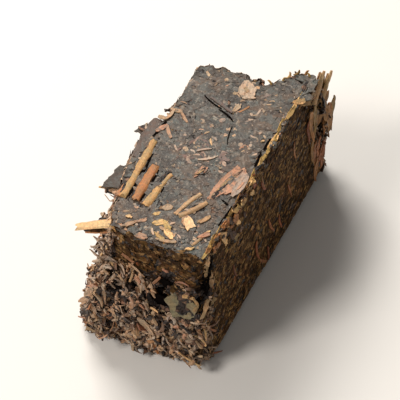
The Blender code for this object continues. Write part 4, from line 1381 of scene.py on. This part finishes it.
# Curls that rise over the far edge of the top
FAR_CURLS = table(OUT_NEAR, bends=(0.9, 0, 1), rows=(
    ((-0.4, 80.8, -1.4), (-1.6, 81.8, 2), 0.9, 1.2, 0.8),
    ((-3.2, 81.6, -1.2), (-2.6, 83, 1.8), 0.9, -1.6, 0.56),
    ((-6.2, 80.6, -0.9), (-4.2, 81.6, 1.8), 0.9, 1.8, 0.66),
    ((-7.8, 78.6, -1.2), (-6.8, 79.8, 1.6), 0.8, 1.8, 0.9),
    ((-9.2, 76.4, -1.5), (-8, 77.6, 1.6), 0.8, -1.8, 0.84),
    ((-10.7, 72.9, -1.5), (-12.1, 74.3, 1.4), 0.8, 2, 0.76),
))

# The stick that stands out at the left of the near end, and a straw under it
STICK = table(UP, rows=(
    ((-32.6, 4.2, -3.6), (-45, 1, -8.6), 3.4, 0.1, 0.9),
    ((-34, 2.6, -7.2), (-42, 0.9, -9.6), 1.4, -0.1, 0.42),
))


def laid(make, rows, name, material, ground=(), lift=0.0):
    """Shapes made at the places of a table, as one joined piece.

    make: a function of a shape's length, width, bends and random numbers
    ground: the pieces that the shapes are settled on, if any
    lift: how far above them they lie, in millimetres
    """
    chance = random.Random(name)
    pieces = []
    for start, end, facing, width, bends, tint in rows:
        first, last = settled(ground, start, lift), settled(ground, end, lift)
        piece = make((last - first).length, width * MM, bends, chance)
        pieces.append(lay(piece, (first + last) / 2, last - first, facing, tint))
    return finish_piece(join(pieces), name, material)


def torn_blade(length, width, bends, chance):
    """A single torn leaf."""
    return blade(length, width, bends, thickness=0.3 * MM, chance=chance, cells=(12, 4),
                 crumpled=0.12 * width)


def torn_scrap(length, width, bends, chance):
    """A single torn flake, narrower at its start."""
    return scrap(length, width, bends, thickness=0.35 * MM, chance=chance, taper=0.5)


def split_stem(length, width, bends, chance):
    """A single split stem with fibres along it and broken ends."""
    return strand(length, width, bends, chance, sides=10, columns=9, flat=0.45, ends=0.85,
                  uneven=0.10, fibres=0.16 * width)


def rolled_leaf(length, width, bends, chance):
    """A single rolled leaf with ridges along it."""
    return strand(length, width, bends, chance, sides=8, columns=9, flat=0.7, ends=0.5,
                  uneven=0.14, fibres=0.12 * width)


def thin_strip(length, width, bends, chance):
    """A flat strip for painted shade at the bottom of a crack, in a cleft or beside a stem."""
    return blade(length, width, bends, thickness=0.12 * MM, chance=chance, cells=(12, 2),
                 crumpled=0.15 * width)


# How many small chips and curls are laid by a rule
RIM_CHIPS, JUMBLE_CHIPS, NEAR_CURLS, NEAR_CHIPS = 40, 36, 100, 40

# Length of the edge between the top and the pressed side, the part from its near end where
# the chips are dark, and where their jumble starts and how long it is, in millimetres
EDGE, DARK_EDGE = 79, 30
JUMBLE_START, JUMBLE_LENGTH = 6, 31


def rim_rows(chance):
    """Slender chips along the edge between the top and the pressed side: dark ones at its
    near end, then pale ones."""
    rows = []
    for index in range(RIM_CHIPS):
        from_near = EDGE * (index + chance.uniform(0.2, 0.8)) / RIM_CHIPS
        pale = from_near > DARK_EDGE
        start = Vector((chance.uniform(-0.6, 0.1), from_near, chance.uniform(-0.4, 0.3)))
        along = Vector((chance.uniform(-0.6, 0.3), chance.uniform(3, 6), chance.uniform(-0.4, 0.4)))
        facing = (chance.uniform(0.3, 1), 0, 1)
        bends = (chance.uniform(-0.4, 0.4), 0.1, 0.6, chance.uniform(-0.5, 0.5))
        rows.append((start, start + along, facing, chance.uniform(0.8, 1.6), bends,
                     chance.choice((0.78, 0.84, 0.90, 0.96) if pale else (0.3, 0.5, 0.6, 0.8))))
    return rows


def open_rows(rows):
    """The rows whose starts lie clear of the hollows."""
    return [row for row in rows if all((row[0] - Vector(middle)).length > 0.9 * radius
                                       for middle, radius, _ in HOLLOWS)]


def jumble_rows(chance):
    """Small curled chips between the clumps of that edge's near half."""
    rows = []
    for index in range(JUMBLE_CHIPS):
        from_near = JUMBLE_START + JUMBLE_LENGTH * (index + chance.uniform(0, 1)) / JUMBLE_CHIPS
        start = Vector((0.3, from_near, chance.uniform(-5.0, 1.5)))
        along = Vector((0, chance.uniform(0.6, 2.4), chance.uniform(-3, 1)))
        bends = (chance.uniform(-0.6, 0.6), chance.uniform(0.2, 0.8), 0.9, 0.4)
        rows.append((start, start + along, OUT_RIGHT, chance.uniform(1.2, 2.0), bends,
                     chance.choice((0.0, 0.04, 0.2, 0.36, 0.42, 0.6, 0.84, 0.94))))
    return rows


def curl_rows(chance):
    """Fine curled leaves that stand out from the loose part of the near end; their pale tints are
    partly painted highlights.
    """
    rows = []
    for index in range(NEAR_CURLS):
        left = index % 4 > 0
        start = Vector((chance.uniform(-38, -17), NEAR_SURFACE, chance.uniform(-45, -17)) if left else
                       (chance.uniform(-17, -3), NEAR_SURFACE, chance.uniform(-50, -32)))
        along = Vector((chance.uniform(-3, 3), 0, chance.uniform(-4.2, -1.2)))
        bow = chance.choice((-1, 1)) * chance.uniform(1.0, 2.8)
        bends = (bow, chance.uniform(0.2, 1.2), 0, chance.uniform(-2, 2))
        rows.append((start, start + along, OUT_NEAR, chance.uniform(0.9, 1.7), bends,
                     chance.choice((0.16, 0.47, 0.62, 0.72, 0.84, 0.88, 0.94))))
    return open_rows(rows)


def chip_rows(chance):
    """Small torn chips among those curls, many of them pale, partly as painted highlights."""
    rows = []
    for _ in range(NEAR_CHIPS):
        start = Vector((chance.uniform(-39, -17), NEAR_SURFACE, chance.uniform(-44, -17)))
        along = Vector((chance.uniform(-2, 2), 0, chance.uniform(-2.4, -0.6)))
        facing = (chance.uniform(-0.6, 0.4), -1, chance.uniform(0, 1))
        bends = (chance.uniform(-0.5, 0.5), chance.uniform(0.3, 1), chance.uniform(0.6, 1.6), 0.4)
        rows.append((start, start + along, facing, chance.uniform(1.1, 2.0), bends,
                     chance.choice((0.0, 0.66, 0.84, 0.88, 0.90, 0.94))))
    return open_rows(rows)


def build_named(core, colours):
    """The leaves and stems that stand out, one piece for each kind."""
    stem, loose, rubbed = woody_stem(colours), curled_leaf(colours), rubbed_leaf(colours)
    rim = rim_leaf(colours)
    near = [core, bpy.data.objects["near_leaves"], bpy.data.objects["near_skin"]]
    right = [core, bpy.data.objects["side_leaves"], bpy.data.objects["near_skin"]]
    laid(split_stem, TOP_STEMS, "top_stems", stem)
    laid(split_stem, STICK, "stick", stem)
    laid(torn_blade, TOP_STRIPS, "top_strips", rubbed)
    laid(torn_scrap, TOP_SCRAPS, "top_scraps", rubbed)
    laid(torn_scrap, FRONT_SCRAPS, "front_scraps", rim)
    laid(torn_scrap, CORNER_FLAKES, "corner_flakes", satin_pressed_leaf(colours))
    laid(torn_scrap, TOP_BITS, "top_bits", stem)
    laid(torn_scrap, LEFT_SCRAPS, "left_scraps", rubbed)
    # Painted shade: near-black strips and patches in the cracks, beside the stems and at the bottoms
    # of the hollows
    laid(thin_strip, PAINTED_SHADE_STRIPS, "cracks", painted_shade(colours))
    laid(torn_scrap, SHADED_GAPS, "shaded_gaps", painted_shade(colours), [core], 0.2)
    # Painted highlight in part: the pale tints of the near end's strands, curls, chips and flakes
    laid(rolled_leaf, NEAR_STRANDS, "near_strands", loose, near, 0.4)
    laid(rolled_leaf, curl_rows(random.Random(6)), "near_curls", loose, near, 0.3)
    laid(torn_scrap, chip_rows(random.Random(7)), "near_chips", loose, near, 0.5)
    laid(torn_scrap, NEAR_SCRAPS, "near_scraps", loose, near, 0.4)
    laid(torn_scrap, NEAR_FLAKES, "near_flake", waxy_green_leaf(colours), [core], 2.2)
    laid(split_stem, FLAKE_RIM, "flake_rim", stem, [core], 2.8)
    laid(split_stem, NEAR_BITS, "near_bits", stem, near, 0.3)
    laid(torn_blade, rim_rows(random.Random(3)), "rim_chips", rim)
    laid(torn_scrap, RIM_CLUMPS, "rim_clumps", rim, right, 0.7)
    laid(torn_scrap, jumble_rows(random.Random(4)), "rim_jumble", rim, right, 0.5)
    laid(torn_scrap, RIGHT_EDGE, "near_edge_strips", stem, right, 0.6)
    laid(torn_blade, SIDE_SLIVERS, "side_slivers", rim)
    laid(torn_scrap, FAR_STRIPS, "far_strips", rim)
    laid(torn_scrap, FAR_KNOT, "far_knot", stem)
    laid(split_stem, FAR_FINGERS, "far_fingers", stem)
    laid(rolled_leaf, FAR_CURLS, "far_curls", rim)


# Stage ---------------------------------------------------------------------------------

# How the camera fitted to the chunk in the photograph rolls. The lens is longer than the
# photograph's, so that the chunk fills the picture in the same perspective.
CAMERA_ROLL = math.radians(-3.7)
CAMERA_AIM = Vector((-0.5, -1.0, 27.0)) * MM
CAMERA_LENS = 186.0

# Square lamps: name, place and size in metres, power in watts and colour
LAMPS = (
    ("key", (-0.42, 0.36, 0.75), 0.40, 9.5, (1.0, 0.97, 0.93)),
    ("front", (-0.35, -0.55, 0.75), 0.25, 6.0, (1.0, 0.95, 0.90)),
)
LAMP_AIM = Vector((0, 0, 0.03))
FLOOR_SIZE = 4.0
SKY_COLOUR = (1.0, 0.97, 0.94, 1.0)
SKY_STRENGTH = 0.25


def build_camera():
    """A camera that looks at the chunk from the photograph's side."""
    deselect()
    bpy.ops.object.camera_add(location=CAMERA_PLACE)
    camera = bpy.context.object
    camera.data.lens = CAMERA_LENS
    camera.data.clip_start = 0.01
    looking = (CAMERA_AIM - CAMERA_PLACE).to_track_quat("-Z", "Y")
    turn = looking.to_matrix() @ Matrix.Rotation(CAMERA_ROLL, 3, "Z")
    camera.rotation_euler = turn.to_euler()
    bpy.context.scene.camera = camera


def build_lamp(name, place, size, power, tone):
    """A square lamp that shines at the middle of the chunk."""
    deselect()
    bpy.ops.object.light_add(type="AREA", location=Vector(place))
    lamp = bpy.context.object
    lamp.name = name
    lamp.data.size = size
    lamp.data.energy = power
    lamp.data.color = tone
    lamp.rotation_euler = (LAMP_AIM - Vector(place)).to_track_quat("-Z", "Y").to_euler()


def build_stage(colours):
    """A plain pale floor, soft studio light and the camera."""
    deselect()
    bpy.ops.mesh.primitive_plane_add(size=FLOOR_SIZE)
    floor = bpy.context.object
    floor.name = "floor"
    material, _, _ = new_material("painted_board", Base_Color=colours.floor, Roughness=0.9)
    floor.data.materials.append(material)
    for lamp in LAMPS:
        build_lamp(*lamp)
    world = bpy.context.scene.world or bpy.data.worlds.new("studio")
    bpy.context.scene.world = world
    world.use_nodes = True
    back = world.node_tree.nodes["Background"]
    back.inputs["Color"].default_value = SKY_COLOUR
    back.inputs["Strength"].default_value = SKY_STRENGTH
    bpy.context.scene.view_settings.view_transform = "Standard"
    build_camera()


# Operators, panel and run --------------------------------------------------------------

class TeaOperator:
    """What the operators share: the scene's properties and the core."""
    bl_options = {"REGISTER", "UNDO"}

    def sizes(self, context):
        return context.scene.tea_brick_sizes

    def colours(self, context):
        return context.scene.tea_brick_colours

    def core(self):
        found = bpy.data.objects.get("tea_core")
        if found is None:
            raise RuntimeError("build the core first")
        return found


class TEA_OT_stage(TeaOperator, bpy.types.Operator):
    """Add the floor, the lights and the camera"""
    bl_idname = "tea.stage"
    bl_label = "Stage"

    def execute(self, context):
        build_stage(self.colours(context))
        return {"FINISHED"}


class TEA_OT_shapes(TeaOperator, bpy.types.Operator):
    """Model the leaves, strands and stems that the pieces are made of"""
    bl_idname = "tea.shapes"
    bl_label = "Shapes"

    def execute(self, context):
        build_shapes(self.sizes(context))
        return {"FINISHED"}


class TEA_OT_core(TeaOperator, bpy.types.Operator):
    """Model the core of compressed leaf from the solid's own form"""
    bl_idname = "tea.core"
    bl_label = "Core"

    def execute(self, context):
        build_core(self.sizes(context), self.colours(context))
        return {"FINISHED"}


class TEA_OT_top_leaves(TeaOperator, bpy.types.Operator):
    """Press leaves flat into the top"""
    bl_idname = "tea.top_leaves"
    bl_label = "Top leaves"

    def execute(self, context):
        build_top_leaves(self.core(), self.colours(context))
        build_top_chips(self.core(), self.colours(context))
        return {"FINISHED"}


class TEA_OT_side_leaves(TeaOperator, bpy.types.Operator):
    """Cover the pressed side and the near end's skin with fine leaf fragments"""
    bl_idname = "tea.side_leaves"
    bl_label = "Side leaves"

    def execute(self, context):
        build_side_leaves(self.core(), self.colours(context))
        build_near_skin(self.core(), self.colours(context))
        return {"FINISHED"}


class TEA_OT_broken_leaves(TeaOperator, bpy.types.Operator):
    """Grow rolled leaves out of the broken sides"""
    bl_idname = "tea.broken_leaves"
    bl_label = "Broken sides"

    def execute(self, context):
        build_broken_leaves(self.core(), self.colours(context))
        return {"FINISHED"}


class TEA_OT_stems(TeaOperator, bpy.types.Operator):
    """Add loose stems to the broken sides"""
    bl_idname = "tea.stems"
    bl_label = "Loose stems"

    def execute(self, context):
        build_stems(self.core(), self.colours(context))
        return {"FINISHED"}


class TEA_OT_named(TeaOperator, bpy.types.Operator):
    """Lay the single leaves and stems that stand out"""
    bl_idname = "tea.named"
    bl_label = "Single leaves and stems"

    def execute(self, context):
        build_named(self.core(), self.colours(context))
        return {"FINISHED"}


class TEA_OT_clear_shapes(TeaOperator, bpy.types.Operator):
    """Remove the shapes once the pieces are built"""
    bl_idname = "tea.clear_shapes"
    bl_label = "Clear shapes"

    def execute(self, context):
        clear_shapes()
        return {"FINISHED"}


OPERATORS = (TEA_OT_stage, TEA_OT_shapes, TEA_OT_core, TEA_OT_top_leaves, TEA_OT_side_leaves,
             TEA_OT_broken_leaves, TEA_OT_stems, TEA_OT_named, TEA_OT_clear_shapes)


class TEA_PT_panel(bpy.types.Panel):
    """The sidebar panel that lists the pieces in the order they are built"""
    bl_idname = "TEA_PT_panel"
    bl_label = "Dark tea brick"
    bl_space_type = "VIEW_3D"
    bl_region_type = "UI"
    bl_category = "Tea brick"

    def draw(self, context):
        for group in (context.scene.tea_brick_sizes, context.scene.tea_brick_colours):
            for name in group.__annotations__:
                self.layout.prop(group, name)
        for operator in OPERATORS:
            self.layout.operator(operator.bl_idname)


CLASSES = (TeaBrickSizes, TeaBrickColours, *OPERATORS, TEA_PT_panel)


def register():
    for found in CLASSES:
        bpy.utils.register_class(found)
    bpy.types.Scene.tea_brick_sizes = PointerProperty(type=TeaBrickSizes)
    bpy.types.Scene.tea_brick_colours = PointerProperty(type=TeaBrickColours)


def unregister():
    del bpy.types.Scene.tea_brick_colours
    del bpy.types.Scene.tea_brick_sizes
    for found in reversed(CLASSES):
        bpy.utils.unregister_class(found)


def main():
    register()
    bpy.ops.tea.stage()
    bpy.ops.tea.shapes()
    bpy.ops.tea.core()
    bpy.ops.tea.top_leaves()
    bpy.ops.tea.side_leaves()
    bpy.ops.tea.broken_leaves()
    bpy.ops.tea.stems()
    bpy.ops.tea.named()
    bpy.ops.tea.clear_shapes()


if __name__ == "__main__":
    main()
